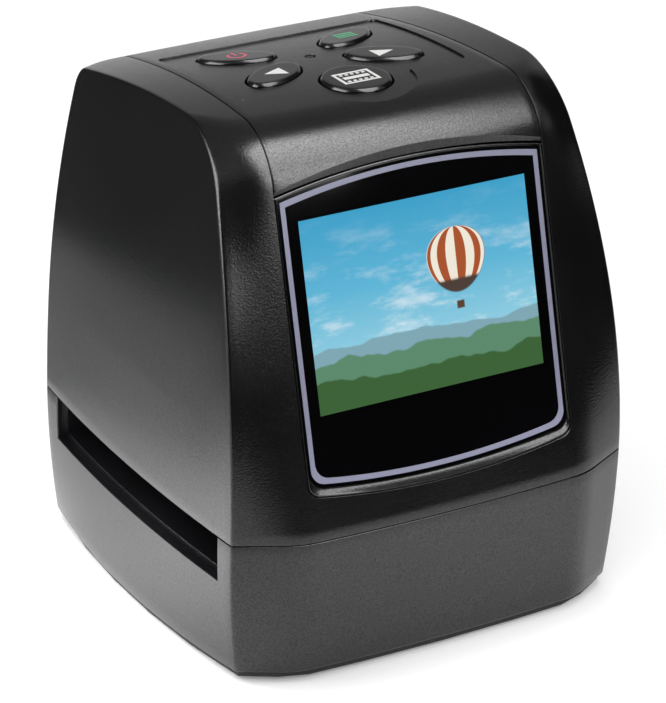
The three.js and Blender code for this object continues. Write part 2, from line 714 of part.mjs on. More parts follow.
function lightReflector() {
  const { rim, wall: skin, throatX, throatY } = reflector;
  const mouthX = diffuser.x - 2 * rim;
  const mouthY = diffuser.y - 2 * rim;
  const outer = funnel(throatX + 2 * skin, throatY + 2 * skin, reflectorFoot, mouthX + 2 * skin,
    mouthY + 2 * skin, reflectorTop);
  const halfX = diffuser.x / 2 + rim;
  const halfY = diffuser.y / 2 + rim;
  const lip = block(-halfX, halfX, opticsY - halfY, opticsY + halfY,
    reflectorTop - skin, reflectorTop);
  return outer.add(lip).subtract(funnel(throatX, throatY, reflectorFoot, mouthX, mouthY, reflectorTop));
}

function ledCircuitBoard() {
  const bottom = ledBoardTop - ledBoard.thick;
  const board = block(-ledBoard.x / 2, ledBoard.x / 2, opticsY - ledBoard.y / 2,
    opticsY + ledBoard.y / 2, bottom, ledBoardTop);
  const half = ledBoard.chip / 2;
  const chips = [-1, 0, 1].map((place) => {
    const x = place * ledBoard.pitch;
    return block(x - half, x + half, opticsY - half, opticsY + half, bottom + gap,
      ledBoardTop + ledBoard.chipHeight);
  });
  return join([board, ...chips]);
}

const tunnelFoot = gateTop + gap;
const tunnelTop = tunnelFoot + tunnel.height;

function opticalTunnel() {
  const { bottomX, bottomY, top, wall: skin } = tunnel;
  const outer = funnel(bottomX, bottomY, tunnelFoot, top, top, tunnelTop);
  const inner = funnel(bottomX - 2 * skin, bottomY - 2 * skin, tunnelFoot, top - 2 * skin,
    top - 2 * skin, tunnelTop - skin);
  const reach = top / 2 - tunnel.post / 2;
  const corners = [[-1, -1], [1, -1], [1, 1], [-1, 1]].map(([sideU, sideV]) => {
    const x = sideU * reach;
    const y = opticsY + sideV * reach;
    return block(x - tunnel.post / 2, x + tunnel.post / 2, y - tunnel.post / 2, y + tunnel.post / 2,
      tunnelTop - skin, tunnelTop + tunnel.postHeight);
  });
  const bore = post(0, opticsY, tunnelTop - overrun, tunnelTop + overrun, lens.radius + gap, 24);
  return outer.subtract(inner).add(join(corners)).subtract(bore);
}

function lensBarrel() {
  const seat = tunnelTop + gap;
  const top = tunnelTop + lens.above;
  const profile = [
    [lens.bore, top - lens.length], [lens.radius, top - lens.length], [lens.radius, seat],
    [lens.flange, seat], [lens.flange, seat + lens.flangeThick],
    [lens.radius, seat + lens.flangeThick], [lens.radius, top], [lens.bore, top],
    [lens.bore, top - lens.length],
  ];
  const lathe = new THREE.LatheGeometry(profile.map(([r, z]) => new THREE.Vector2(r, z)), 24);
  return toSolid(lathe.rotateX(Math.PI / 2).translate(0, opticsY, 0));
}

const sensorUnderside = tunnelTop + tunnel.postHeight + gap;
const sensorTop = sensorUnderside + sensorBoard.thick;

function sensorCircuitBoard() {
  const half = sensorBoard.size / 2;
  const board = block(-half, half, opticsY - half, opticsY + half, sensorUnderside, sensorTop);
  const halfChip = sensorBoard.chip / 2;
  return board.add(block(-halfChip, halfChip, opticsY - halfChip, opticsY + halfChip,
    sensorUnderside - sensorBoard.chipHeight, sensorUnderside + gap));
}

const ioRear = rearY(ioBoard.width / 2, ioUnderside, wall) - gap;

function socketBoard() {
  return block(-ioBoard.width / 2, ioBoard.width / 2, ioRear - ioBoard.depth, ioRear,
    ioUnderside, ioTop);
}

// Place on the back of the main board, lifted off it by half a cable
function behindBoard(v, halfCable) {
  const spot = new THREE.Vector3(0, v, boardBack - 2 * gap - halfCable);
  return spot.applyMatrix4(screenGroup.matrix);
}

// Flat cable through points of y and z, from x0 to x1
function flatCable(points, x0, x1) {
  const stops = points.map(([y, z]) => new THREE.Vector3(y, z, 0));
  const path = new THREE.CatmullRomCurve3(stops, false, 'centripetal');
  const edge = (side) => Array.from({ length: ribbon.steps + 1 }, (_, i) => {
    const at = path.getPoint(i / ribbon.steps);
    const along = path.getTangent(i / ribbon.steps).multiplyScalar((side * ribbon.thick) / 2);
    return [at.x - along.y, at.y + along.x];
  });
  return crossPrism([...edge(-1), ...edge(1).reverse()], x0, x1);
}

// Its end on the main board: lapped over the board between the heights v0 and v1
function boardEnd(v0, v1) {
  return [v0, v1].map((v) => {
    const { y, z } = behindBoard(v, ribbon.thick / 2);
    return [y, z];
  });
}

function keyRibbon() {
  const z = keyBoardTop - keyBoard.thick - gap - ribbon.thick / 2;
  const front = ledY - keyBoard.front;
  const v = boardParts.size + ribbon.lap;
  const path = [[front + 2 * ribbon.lap, z], [front + ribbon.lap, z], ...boardEnd(v + ribbon.lap, v)];
  return flatCable(path, -ribbon.width / 2, ribbon.width / 2);
}

function sensorRibbon() {
  const z = sensorTop + gap + ribbon.thick / 2;
  const front = opticsY - sensorBoard.size / 2;
  const v = -boardParts.size - ribbon.slack;
  const path = [
    [front + ribbon.lap, z], [front, z], [front - ribbon.slack, z - ribbon.slack / 2],
    ...boardEnd(v, v - ribbon.lap),
  ];
  return flatCable(path, -ribbon.width / 2, ribbon.width / 2);
}

// From the sockets over the film gate, beside the optical tunnel
function socketRibbon() {
  const half = ribbon.thick / 2;
  const front = ioRear - ioBoard.depth;
  const z = gateTop + ribbon.thick + ribbon.sag;
  const v = ribbon.lap - mainBoard.chin;
  const [low, high] = boardEnd(v, v + ribbon.lap);
  const path = [
    [front + ribbon.lap, ioUnderside - gap - half], [front, ioUnderside - gap - half],
    [front - 2 * ribbon.lap, z], [low[0] + 2 * ribbon.slack, z], [low[0] + ribbon.slack, z + gap],
    low, high,
  ];
  const x0 = tunnel.bottomX / 2 + gap;
  return flatCable(path, x0, x0 + ribbon.narrow);
}

// Round lead of the light, up through the hole in the base's front end
function lightLead() {
  const z = ledBoardTop + gap + lead.radius;
  const end = behindBoard(-mainBoard.chin, lead.radius);
  const high = behindBoard(ribbon.lap - mainBoard.chin, lead.radius);
  const stops = [
    [opticsY - ledBoard.y / 2 + lead.bend, z], [opticsY - ledBoard.y / 2, z],
    [leadY + lead.bend, z], [leadY, z + lead.bend], [leadY, slotFloor],
    [leadY, seamHeight + lead.bend], [end.y, end.z], [high.y, high.z],
  ];
  const path = new THREE.CatmullRomCurve3(
    stops.map(([y, height]) => new THREE.Vector3(lead.x, y, height)), false, 'centripetal',
  );
  const ring = Array.from({ length: lead.sides }, (_, i) => new THREE.Vector2(lead.radius, 0)
    .rotateAround(new THREE.Vector2(), (i * 2 * Math.PI) / lead.sides));
  const section = new THREE.Shape(ring);
  return toSolid(new THREE.ExtrudeGeometry(section, { extrudePath: path, steps: lead.steps }));
}

// Pressed metal shell of a socket, open to the rear
function socketShell(socket, rear, mouthWidth, mouthHeight) {
  const body = socketOpening(socket, socketFloor, 0)
    .intersect(block(-farX, farX, halfDepth - socket.depth, rear, 0, topMost));
  const middle = socketFloor + socket.height / 2;
  const front = halfDepth - socket.depth + 2 * socket.shell;
  return body.subtract(block(socket.x - mouthWidth / 2, socket.x + mouthWidth / 2, front, farX,
    middle - mouthHeight / 2, middle + mouthHeight / 2));
}

function usbSocket() {
  const inner = usb.height - 2 * usb.shell;
  const shell = socketShell(usb, halfDepth - usb.proud, usb.width - 2 * usb.shell, inner);
  const middle = socketFloor + usb.height / 2;
  return shell.add(block(usb.x - usb.width / 4, usb.x + usb.width / 4,
    halfDepth - usb.depth + usb.shell, halfDepth - wall,
    middle - usb.tongue / 2, middle + usb.tongue / 2));
}

function cardSocket() {
  return socketShell(card, halfDepth - wall / 2, card.mouth, card.mouthHeight);
}

function bottomPlate() {
  const rimTop = plate.lift + plate.rim;
  const rim = planPrism(caseOutline(baseUnderside, plate.setBack), plate.lift, rimTop);
  const inside = caseOutline(baseUnderside, wall + 2 * gap);
  const within = (top) => planPrism(inside, plate.lift + gap, top);
  const bosses = join(screwPlaces().map(([, x, y]) => post(x, y, 0, topMost, plate.boss)));
  const bored = screwPlaces().map(([, x, y]) => post(x, y, 0, topMost, screwBoss.hole, 12));
  const sunk = screwPlaces().map(([, x, y]) => post(x, y, 0, plate.lift + screw.headThick + gap,
    screw.head + gap));
  const feet = footPlaces().map(([, x, y]) => post(x, y, 0, plate.lift + foot.recess,
    foot.radius + gap));
  const reach = ledBoard.x / 2 - ledBoard.postRadius;
  const stands = [-1, 1].map((side) => post(side * reach, opticsY, rimTop,
    ledBoardTop - ledBoard.thick - gap, ledBoard.postRadius, 12));
  const body = join([rim, within(rimTop + plate.inner), within(plateBossTop).intersect(bosses)]);
  return join([body, ...stands]).subtract(join([...bored, ...sunk, ...feet]));
}

function footPlaces() {
  const x = lowerHalf - foot.sideInset;
  const rows = [['front', foot.endInset - halfDepth], ['rear', halfDepth - foot.endInset]];
  return rows.flatMap(([end, y]) => [[`${end}_left`, -x, y], [`${end}_right`, x, y]]);
}

function rubberFoot(x, y) {
  return post(x, y, 0, foot.height, foot.radius);
}

function caseScrew(x, y) {
  const seat = plate.lift + screw.headThick;
  const head = post(x, y, plate.lift, seat, screw.head);
  const cross = block(x - screw.head / 2, x + screw.head / 2, y - gap, y + gap,
    0, plate.lift + 2 * gap);
  return head.add(post(x, y, seat - gap, screwEnd, screw.shank, 10)).subtract(cross);
}

function plastic(color, roughness = 0.5) {
  return new THREE.MeshStandardMaterial({ color, roughness, metalness: 0, flatShading: true });
}

function metal(color, roughness = 0.35) {
  return new THREE.MeshStandardMaterial({ color, roughness, metalness: 1, flatShading: true });
}

const casePlastic = plastic('#2c2c2f', 0.45);
const innerPlastic = plastic('#17171a', 0.7);
const keyPlastic = plastic('#1b1b1e', 0.2);
const glassBlack = plastic('#07080b', 0.05);
const circuitGreen = plastic('#1f5a3a', 0.5);
const whitePlastic = plastic('#eceae4', 0.5);
const switchPlastic = plastic('#2a2a2a', 0.5);
const rubber = plastic('#141414', 0.9);
const leadSheath = plastic('#b5302c', 0.5);
const steel = metal('#b9bcc2');
const lensMetal = metal('#26262a', 0.4);

const scanner = new THREE.Group();
scanner.add(screenGroup);

function addPiece(name, solid, material, group = scanner) {
  const found = solid.getMesh();
  const geometry = new THREE.BufferGeometry();
  const positions = new Float32Array(found.vertProperties);
  geometry.setAttribute('position', new THREE.BufferAttribute(positions, 3));
  geometry.setIndex(new THREE.BufferAttribute(new Uint32Array(found.triVerts), 1));
  geometry.computeVertexNormals();
  const mesh = new THREE.Mesh(geometry, material);
  mesh.name = name;
  group.add(mesh);
}

addPiece('upper_housing', upperHousing(), casePlastic);
addPiece('top_cover', topCover(), casePlastic);
addPiece('base_housing', baseHousing(), casePlastic);
addPiece('bottom_plate', bottomPlate(), innerPlastic);
addPiece('screen_bezel', screenBezel(), innerPlastic, screenGroup);
addPiece('screen_window', screenWindow(), glassBlack, screenGroup);
addPiece('screen_module', screenPanel(), steel, screenGroup);
addPiece('main_board', mainCircuitBoard(), circuitGreen, screenGroup);
for (const spec of keys) {
  addPiece(spec.name, keyCap(spec), keyPlastic);
  addPiece(spec.name.replace('key', 'switch'), tactSwitchBody(spec), switchPlastic);
  addPiece(spec.name.replace('key', 'plunger'), switchPlunger(spec), whitePlastic);
}
addPiece('status_led', statusLight(), whitePlastic);
addPiece('key_board', keyBoardPlate(), circuitGreen);
addPiece('film_gate', filmGate(), innerPlastic);
addPiece('diffuser', diffuserPlate(), whitePlastic);
addPiece('light_reflector', lightReflector(), whitePlastic);
addPiece('led_board', ledCircuitBoard(), whitePlastic);
addPiece('optical_tunnel', opticalTunnel(), innerPlastic);
addPiece('lens_barrel', lensBarrel(), lensMetal);
addPiece('sensor_board', sensorCircuitBoard(), circuitGreen);
addPiece('socket_board', socketBoard(), circuitGreen);
addPiece('usb_socket', usbSocket(), steel);
addPiece('card_socket', cardSocket(), steel);
addPiece('key_ribbon', keyRibbon(), whitePlastic);
addPiece('sensor_ribbon', sensorRibbon(), whitePlastic);
addPiece('socket_ribbon', socketRibbon(), whitePlastic);
addPiece('light_lead', lightLead(), leadSheath);
for (const [place, x, y] of footPlaces()) {
  addPiece(`foot_${place}`, rubberFoot(x, y), rubber);
}
for (const [place, x, y] of screwPlaces()) {
  addPiece(`screw_${place}`, caseScrew(x, y), steel);
}

export default scanner;
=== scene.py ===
from math import acos, atan, atan2, cos, pi, radians, sin, sqrt, tan

import bmesh
import bpy
from mathutils import Matrix, Vector


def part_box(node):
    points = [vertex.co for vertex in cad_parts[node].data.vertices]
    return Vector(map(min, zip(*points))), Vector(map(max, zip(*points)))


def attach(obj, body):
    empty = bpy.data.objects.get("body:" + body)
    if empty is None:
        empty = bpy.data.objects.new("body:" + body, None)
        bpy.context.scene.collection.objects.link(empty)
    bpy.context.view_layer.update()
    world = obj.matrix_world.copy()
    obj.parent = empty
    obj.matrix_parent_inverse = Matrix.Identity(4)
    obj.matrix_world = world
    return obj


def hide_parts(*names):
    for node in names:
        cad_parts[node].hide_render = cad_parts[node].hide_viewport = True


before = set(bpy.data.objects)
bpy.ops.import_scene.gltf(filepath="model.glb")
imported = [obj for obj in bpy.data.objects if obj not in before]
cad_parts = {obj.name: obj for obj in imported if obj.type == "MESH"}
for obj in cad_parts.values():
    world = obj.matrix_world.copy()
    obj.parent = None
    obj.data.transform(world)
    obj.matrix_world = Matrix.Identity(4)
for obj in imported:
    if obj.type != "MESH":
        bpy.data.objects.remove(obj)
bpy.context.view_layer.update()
scene = bpy.context.scene
millimetre = 0.001
print("frame loaded:", len(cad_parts), "nodes")


# small helpers

def nodeBox(name):  # lowest and highest corner of a CAD node, in mm
    low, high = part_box(name)
    return low / millimetre, high / millimetre


def lerp(a, b, share):
    return a + (b - a) * share


def clamp(share):
    return min(max(share, 0), 1)


def smooth(share):
    return share * share * (3 - 2 * share)


def spread(start, end, steps):  # steps + 1 values from start to end
    return [lerp(start, end, i / steps) for i in range(steps + 1)]


def linear(colour):  # sRGB hex to linear RGBA; other colours stay
    if not isinstance(colour, str):
        return colour
    parts = [int(colour[i:i + 2], 16) / 255 for i in (1, 3, 5)]
    return [c / 12.92 if c < 0.04045 else ((c + 0.055) / 1.055) ** 2.4 for c in parts] + [1]


def perMillimetre(size):  # texture scale that gives features of that size in mm
    return 1 / (size * millimetre)


# materials

# A socket takes a value, a hex colour, a node or an output. A ramp's first two stops are its ends
def addNode(tree, kind, sockets=None, settings=None, stops=()):
    node = tree.nodes.new("ShaderNode" + kind)
    for name, value in (settings or {}).items():
        setattr(node, name, value)
    for name, value in (sockets or {}).items():
        if isinstance(value, bpy.types.Node):
            value = value.outputs[0]
        if isinstance(value, bpy.types.NodeSocket):
            tree.links.new(value, node.inputs[name])
        else:
            node.inputs[name].default_value = linear(value)
    for i, (position, colour) in enumerate(stops):
        ramp = node.color_ramp.elements
        stop = ramp[i] if i < 2 else ramp.new(position)
        stop.position = position
        stop.color = linear(colour)
    return node


# build takes the tree, the place on the piece and the look, and returns the surface
def newMaterial(name, build, look=None):
    material = bpy.data.materials.new(name)
    material.use_nodes = True
    tree = material.node_tree
    tree.nodes.clear()
    place = addNode(tree, "TexCoord").outputs["Object"]
    addNode(tree, "OutputMaterial", {"Surface": build(tree, place, look)})
    return material


# What most of the plastics share
plastic = {"ior": 1.53, "grainSize": 0.5, "grainDepth": 0.01, "grainStrength": 0.4,
           "sparkle": 0.03}


# A moulded plastic: grain pressed in from the tool, with a slow drift in colour and gloss
def mouldedPlastic(tree, place, look):
    look = {**plastic, **look}
    drift = addNode(tree, "TexNoise", {
        "Vector": place, "Scale": perMillimetre(look["driftSize"]), "Detail": 3})
    grain = addNode(tree, "TexNoise", {
        "Vector": place, "Scale": perMillimetre(look["grainSize"]), "Detail": 2, "Roughness": 0.6})
    colour = addNode(tree, "ValToRGB", {"Fac": drift}, stops=(
        (0.3, look["dark"]), (0.7, look["light"])))
    mixed = addNode(tree, "Math", {0: grain, 1: 0.5, 2: drift}, {"operation": "MULTIPLY_ADD"})
    rough = addNode(tree, "MapRange", {
        "Value": mixed, "From Min": 0.5, "From Max": 1.0,
        "To Min": look["roughness"][0], "To Max": look["roughness"][1]})
    bump = addNode(tree, "Bump", {"Height": grain, "Strength": look["grainStrength"],
                                  "Distance": look["grainDepth"] * millimetre})
    sheen = addNode(tree, "MapRange", {  # the grain's pits shine less
        "Value": grain, "From Min": 0.35, "From Max": 0.65,
        "To Min": 0.5 - look["sparkle"], "To Max": 0.5 + look["sparkle"]})
    return addNode(tree, "BsdfPrincipled", {
        "Base Color": colour, "Roughness": rough, "Specular IOR Level": sheen, "Normal": bump,
        "IOR": look["ior"]})


# Black ABS with a fine spark-eroded grain: near black, with broad soft highlights that sparkle
satinAbs = newMaterial("satinAbs", mouldedPlastic, {
    "dark": "#0b0b0c", "light": "#0f0f11", "roughness": (0.17, 0.23), "driftSize": 26,
    "grainSize": 0.34, "grainDepth": 0.035, "grainStrength": 1.0, "sparkle": 0.11})
# The same ABS from a polished tool: the keys' bevels flash
glossAbs = newMaterial("glossAbs", mouldedPlastic, {
    "dark": "#101012", "light": "#17171a", "roughness": (0.16, 0.24), "driftSize": 9,
    "grainSize": 0.7, "grainDepth": 0.004})
# Unpolished black ABS inside: it swallows light, so the film slot stays dark
matteAbs = newMaterial("matteAbs", mouldedPlastic, {
    "dark": "#101010", "light": "#1b1b19", "roughness": (0.54, 0.7), "driftSize": 14,
    "grainSize": 0.6, "grainDepth": 0.03, "grainStrength": 0.6, "ior": 1.5, "sparkle": 0.05})
# Nitrile rubber, moulded: dull dark grey with a faint bloom
nitrileRubber = newMaterial("nitrileRubber", mouldedPlastic, {
    "dark": "#1c1c1d", "light": "#2a2a2a", "roughness": (0.72, 0.88), "driftSize": 4,
    "grainDepth": 0.04, "grainStrength": 0.7, "ior": 1.5, "sparkle": 0.1})
# White nylon, moulded: soft sheen, slightly warm. The flat cables have it too
whiteNylon = newMaterial("whiteNylon", mouldedPlastic, {
    "dark": "#d5d2c8", "light": "#e4e2da", "roughness": (0.39, 0.51), "driftSize": 6,
    "grainSize": 0.4})
# Black nylon of the switch bodies, moulded: the same sheen
blackNylon = newMaterial("blackNylon", mouldedPlastic, {
    "dark": "#141414", "light": "#202020", "roughness": (0.44, 0.56), "driftSize": 5,
    "grainSize": 0.4})
# Solder mask over fibreglass: deep green, glossy, with the weave just telling
solderMask = newMaterial("solderMask", mouldedPlastic, {
    "dark": "#0f4a2a", "light": "#17633a", "roughness": (0.22, 0.34), "driftSize": 7,
    "grainSize": 0.8, "ior": 1.5})
# Opal acrylic of the diffuser, cast: white with a smooth matt face
opalAcrylic = newMaterial("opalAcrylic", mouldedPlastic, {
    "dark": "#d9dcdc", "light": "#eceeee", "roughness": (0.45, 0.55), "driftSize": 20,
    "grainDepth": 0.004, "grainStrength": 0.3, "ior": 1.49, "sparkle": 0.02})


# A metal with the fine scratches of a belt or a lathe, stretched along one axis
def brushedMetal(tree, place, look):
    stretched = addNode(tree, "Mapping", {"Vector": place, "Scale": look["stretch"]})
    scratch = addNode(tree, "TexNoise", {
        "Vector": stretched, "Scale": perMillimetre(look["scratchSize"]), "Detail": 4})
    rough = addNode(tree, "MapRange", {
        "Value": scratch, "From Min": 0.3, "From Max": 0.7,
        "To Min": look["roughness"][0], "To Max": look["roughness"][1]})
    colour = addNode(tree, "ValToRGB", {"Fac": scratch}, stops=(
        (0, look["dark"]), (1, look["light"])))
    bump = addNode(tree, "Bump", {"Height": scratch, "Strength": 0.4,
                                  "Distance": look["scratchDepth"] * millimetre})
    return addNode(tree, "BsdfPrincipled", {
        "Base Color": colour, "Metallic": 1.0, "Roughness": rough, "Normal": bump})


# Stamped stainless steel of the sockets and the screen's back, brushed along its length
stampedSteel = newMaterial("stampedSteel", brushedMetal, {
    "dark": "#8d8f92", "light": "#b9bbbd", "roughness": (0.22, 0.38),
    "scratchSize": 0.3, "scratchDepth": 0.01, "stretch": (0.08, 1, 1)})
# Steel of the screws, blackened with oxide: dark, with a dull shine
blackenedSteel = newMaterial("blackenedSteel", brushedMetal, {
    "dark": "#151517", "light": "#222326", "roughness": (0.32, 0.48),
    "scratchSize": 0.3, "scratchDepth": 0.006, "stretch": (1, 1, 0.1)})
# Anodised aluminium of the lens barrel, turned on a lathe: dark grey with fine rings
blackAnodised = newMaterial("blackAnodised", brushedMetal, {
    "dark": "#2a2b2d", "light": "#3c3d40", "roughness": (0.27, 0.43),
    "scratchSize": 0.25, "scratchDepth": 0.008, "stretch": (1, 1, 0.1)})


# Black backed acrylic sheet: a hard clear gloss over flat black, with the lightest wiping haze
def backedAcrylic(tree, place, look):
    haze = addNode(tree, "TexNoise", {
        "Vector": place, "Scale": perMillimetre(look["hazeSize"]), "Detail": 4,
        "Distortion": 0.6})
    rough = addNode(tree, "MapRange", {
        "Value": haze, "To Min": look["roughness"][0], "To Max": look["roughness"][1]})
    colour = addNode(tree, "ValToRGB", {"Fac": haze}, stops=(
        (0, look["dark"]), (1, look["light"])))
    return addNode(tree, "BsdfPrincipled", {
        "Base Color": colour, "Roughness": rough, "IOR": look["ior"]})


# Screen print: an even ink layer with slightly uneven density
def printedInk(tree, place, look):
    colour, roughness = look
    density = addNode(tree, "TexNoise", {
        "Vector": place, "Scale": perMillimetre(0.5), "Detail": 3})
    thinner = [0.88 * c for c in linear(colour)[:3]] + [1]
    layer = addNode(tree, "ValToRGB", {"Fac": density}, stops=((0, thinner), (1, colour)))
    bump = addNode(tree, "Bump", {
        "Height": density, "Strength": 0.3, "Distance": 0.005 * millimetre})
    return addNode(tree, "BsdfPrincipled", {
        "Base Color": layer, "Roughness": roughness, "Normal": bump, "IOR": 1.5})


acrylic = newMaterial("backedAcrylic", backedAcrylic, {
    "dark": "#040405", "light": "#08080a", "roughness": (0.03, 0.1), "hazeSize": 18, "ior": 1.49})
lilacInk = newMaterial("lilacInk", printedInk, ("#9a9bb5", 0.3))
whiteInk = newMaterial("whiteInk", printedInk, ("#f0f0ee", 0.45))
redInk = newMaterial("redInk", printedInk, ("#dd5f78", 0.45))
greenInk = newMaterial("greenInk", printedInk, ("#62c290", 0.45))
print("materials done")


# the case: formulas of its outer faces, in mm

case = {
    "wall": 2.2,
    "gap": 0.3,               # seam between two mouldings
    "seamGap": 0.14,          # the seam as it shows
    "seamRound": 0.16,        # rolled edge at a seam
    "edgeReach": 0.6,         # how far the rounding of a crisp edge reaches on each side
    "frontTilt": radians(15.5),
    "frontBow": 1.1,
    "frontTopRadius": 13,
    "rearTopRadius": 3.5,
    "topRadius": 200,
    "crownSetBack": 1.9,
    "softCorner": 31.48,      # x of the soft edge between the front and its facet
    "softReach": 3,
    "facetWidth": 11.7,
    "widestDrop": 1.7,        # the facets are widest this far below the seam
    "cornerTopDraw": 6.3,
    "cornerFloorDraw": 1.8,
    "sideBulge": 1.8,
    "sideTopDraw": 8.2,
    "sideMiddle": 1,          # y where the sides are widest
    "facetDropFloor": 6.6,
    "facetDropSeam": 7.1,
    "facetDropLeast": 2.1,
    "facetLeastRise": 36.3,
    "rearFacetDrop": 5.1,
    "rearLean": 4.9,
    "rearLeanRise": 20.3,
    "floorTuck": 1,
}
wall, gap = case["wall"], case["gap"]
crown = nodeBox("top_cover")[1].z
floorZ = nodeBox("base_housing")[0].z
seam = (nodeBox("base_housing")[1].z + nodeBox("upper_housing")[0].z) / 2
seamLow, seamHigh = seam - case["seamGap"] / 2, seam + case["seamGap"] / 2
halfDepth = nodeBox("base_housing")[1].y
sinTilt, cosTilt = sin(case["frontTilt"]), cos(case["frontTilt"])
softX = case["softCorner"]
hoodRadius, rearRadius = case["frontTopRadius"], case["rearTopRadius"]
rearBase = seam + case["rearLeanRise"]


def slopeY(z):  # middle line of the front above the seam
    return max(z - seam, 0) * sinTilt / cosTilt - halfDepth


crownY = (slopeY(crown - hoodRadius * (1 - sinTilt)) + hoodRadius * cosTilt
          + case["crownSetBack"])


def archHeight(y):
    return crown - (y - crownY) ** 2 / (2 * case["topRadius"])


def archNormal(y):
    return Vector((0, (y - crownY) / case["topRadius"], 1)).normalized()


def cornerX(z):  # x of the crisp edge between the facets and the side
    widest = seam - case["widestDrop"]
    draw, end = (case["cornerTopDraw"], crown) if z > widest else (case["cornerFloorDraw"], floorZ)
    return softX + case["facetWidth"] - draw * min((z - widest) / (end - widest), 1) ** 2


def facetDrop(z):
    if z < seam:
        share = (z - floorZ) / (seam - floorZ)
        return lerp(case["facetDropFloor"], case["facetDropSeam"], share)
    share = (z - seam) / case["facetLeastRise"] - 1
    return lerp(case["facetDropLeast"], case["facetDropSeam"], share ** 2)


def tuck(z):  # how far the base draws in towards the floor
    return case["floorTuck"] * max(seam - z, 0) / (seam - floorZ)


def softReach(z):
    return min(case["softReach"], (cornerX(z) - softX) / 2)


# How far the surface at x falls back behind its middle line: the bow, a soft edge, the facet
def setBack(x, z, drop):
    x, bow, reach = abs(x), case["frontBow"], softReach(z)
    slope = (drop - bow) / (cornerX(z) - softX)
    start, end = softX - reach, softX + reach
    if x <= start:
        return bow * (x / softX) ** 2
    if x >= end:
        return bow + (x - softX) * slope
    share = (x - start) / (end - start)
    first, last = bow * (start / softX) ** 2, bow + reach * slope
    firstRun = 2 * bow * start / softX ** 2 * (end - start)
    lastRun = slope * (end - start)
    return (first * (1 + 2 * share) * (1 - share) ** 2 + last * share ** 2 * (3 - 2 * share)
            + firstRun * share * (1 - share) ** 2 - lastRun * share ** 2 * (1 - share))


def frontBack(x, z):
    return setBack(x, z, facetDrop(z))


def rearBack(x, z):
    return setBack(x, z, case["rearFacetDrop"])


def rearLean(z):
    return max(z - rearBase, 0) / (crown - rearBase)


def rearY(z):  # middle line of the rear
    return halfDepth - case["rearLean"] * rearLean(z) ** 2


def rearSlope(z):
    return 2 * case["rearLean"] * rearLean(z) / (crown - rearBase)


# Centres of the two roundings of the middle profile: each touches the arch and its wall, at
# places that the rounds of this loop settle
hoodTouch, rearTouch, rearWallZ = crownY, halfDepth, crown
for _ in range(40):
    hoodCentre = Vector((0, hoodTouch, archHeight(hoodTouch))) - hoodRadius * archNormal(hoodTouch)
    hoodTouch += slopeY(hoodCentre.z) + hoodRadius / cosTilt - hoodCentre.y
    rearCentre = Vector((0, rearTouch, archHeight(rearTouch))) - rearRadius * archNormal(rearTouch)
    lean = atan(rearSlope(rearWallZ))
    rearWallZ = rearCentre.z + rearRadius * sin(lean)
    rearTouch += rearY(rearWallZ) - rearRadius * cos(lean) - rearCentre.y
hoodFoot = hoodCentre.z + hoodRadius * sinTilt
hoodStart = case["frontTilt"] - pi / 2
hoodEnd, rearStart = (atan2(archNormal(y).y, archNormal(y).z) for y in (hoodTouch, rearTouch))


def onRounding(centre, radius, turn):
    normal = Vector((0, sin(turn), cos(turn)))
    return centre + radius * normal, normal


# Point and normal on the middle profile: t runs 0 to 1 up the front, to 2 round the hood,
# to 3 over the top, to 4 round the rear edge and to 5 down the rear
def profileAt(t, foot):
    if t < 1:
        z = lerp(foot, hoodFoot, t)
        return Vector((0, slopeY(z), z)), Vector((0, -cosTilt, sinTilt))
    if t < 2:
        return onRounding(hoodCentre, hoodRadius, lerp(hoodStart, hoodEnd, t - 1))
    if t < 3:
        y = lerp(hoodTouch, rearTouch, t - 2)
        return Vector((0, y, archHeight(y))), archNormal(y)
    if t < 4:
        return onRounding(rearCentre, rearRadius, lerp(rearStart, pi / 2 - lean, t - 3))
    z = lerp(rearWallZ, foot, t - 4)
    return Vector((0, rearY(z), z)), Vector((0, 1, rearSlope(z))).normalized()


# Point of the outer skin at x and t, drawn in by inset
def skinPoint(x, t, inset=0, foot=seamHigh, drawnX=None):
    point, normal = profileAt(t, foot)
    if t <= 2:
        lift = archHeight(hoodTouch + frontBack(x, point.z)) - archHeight(hoodTouch)
        point.z += lift * smooth(max(t - 1, 0))
        point.y += frontBack(x, point.z)
    elif t < 3:
        front = frontBack(x, archHeight(hoodTouch))
        rear = rearBack(x, archHeight(rearTouch))
        point.y += lerp(front, -rear, t - 2)
        point.z = archHeight(point.y)
    else:
        lift = archHeight(rearTouch - rearBack(x, point.z)) - archHeight(rearTouch)
        point.z += lift * (1 - smooth(min(t - 3, 1)))
        point.y -= rearBack(x, point.z)
    point.x = x if drawnX is None else drawnX
    slide = max(1 - t, 0) * inset * sinTilt / cosTilt  # keeps the foot of the inner skin level
    return point - inset * normal + slide * Vector((0, sinTilt, cosTilt))


def frontMiddleY(z):  # middle line of the front at the height z
    if z < hoodFoot:
        return slopeY(z)
    rise = min((z - hoodCentre.z) / hoodRadius, 1)
    return hoodCentre.y - hoodRadius * sqrt(1 - rise ** 2)


def frontEdgeY(z):  # y of the crisp front edge at the height z
    return frontMiddleY(z) + tuck(z) + frontBack(cornerX(z), z)


def rearEdgeY(z):
    middle = rearY(z)
    if z >= rearWallZ:
        rise = clamp((z - rearCentre.z) / rearRadius)
        middle = rearCentre.y + rearRadius * sqrt(1 - rise ** 2)
    return middle - tuck(z) - rearBack(cornerX(z), z)


def sideX(y, z):
    rise = max(z - seam, 0) / (crown - seam)
    middle = softX + case["facetWidth"] + case["sideBulge"] - case["sideTopDraw"] * rise ** 2
    away = y - case["sideMiddle"]
    end = frontEdgeY(z) if away < 0 else rearEdgeY(z)
    share = away / (end - case["sideMiddle"])
    return middle - (middle - cornerX(z)) * share ** 2


# the grid that the surfaces are drawn on

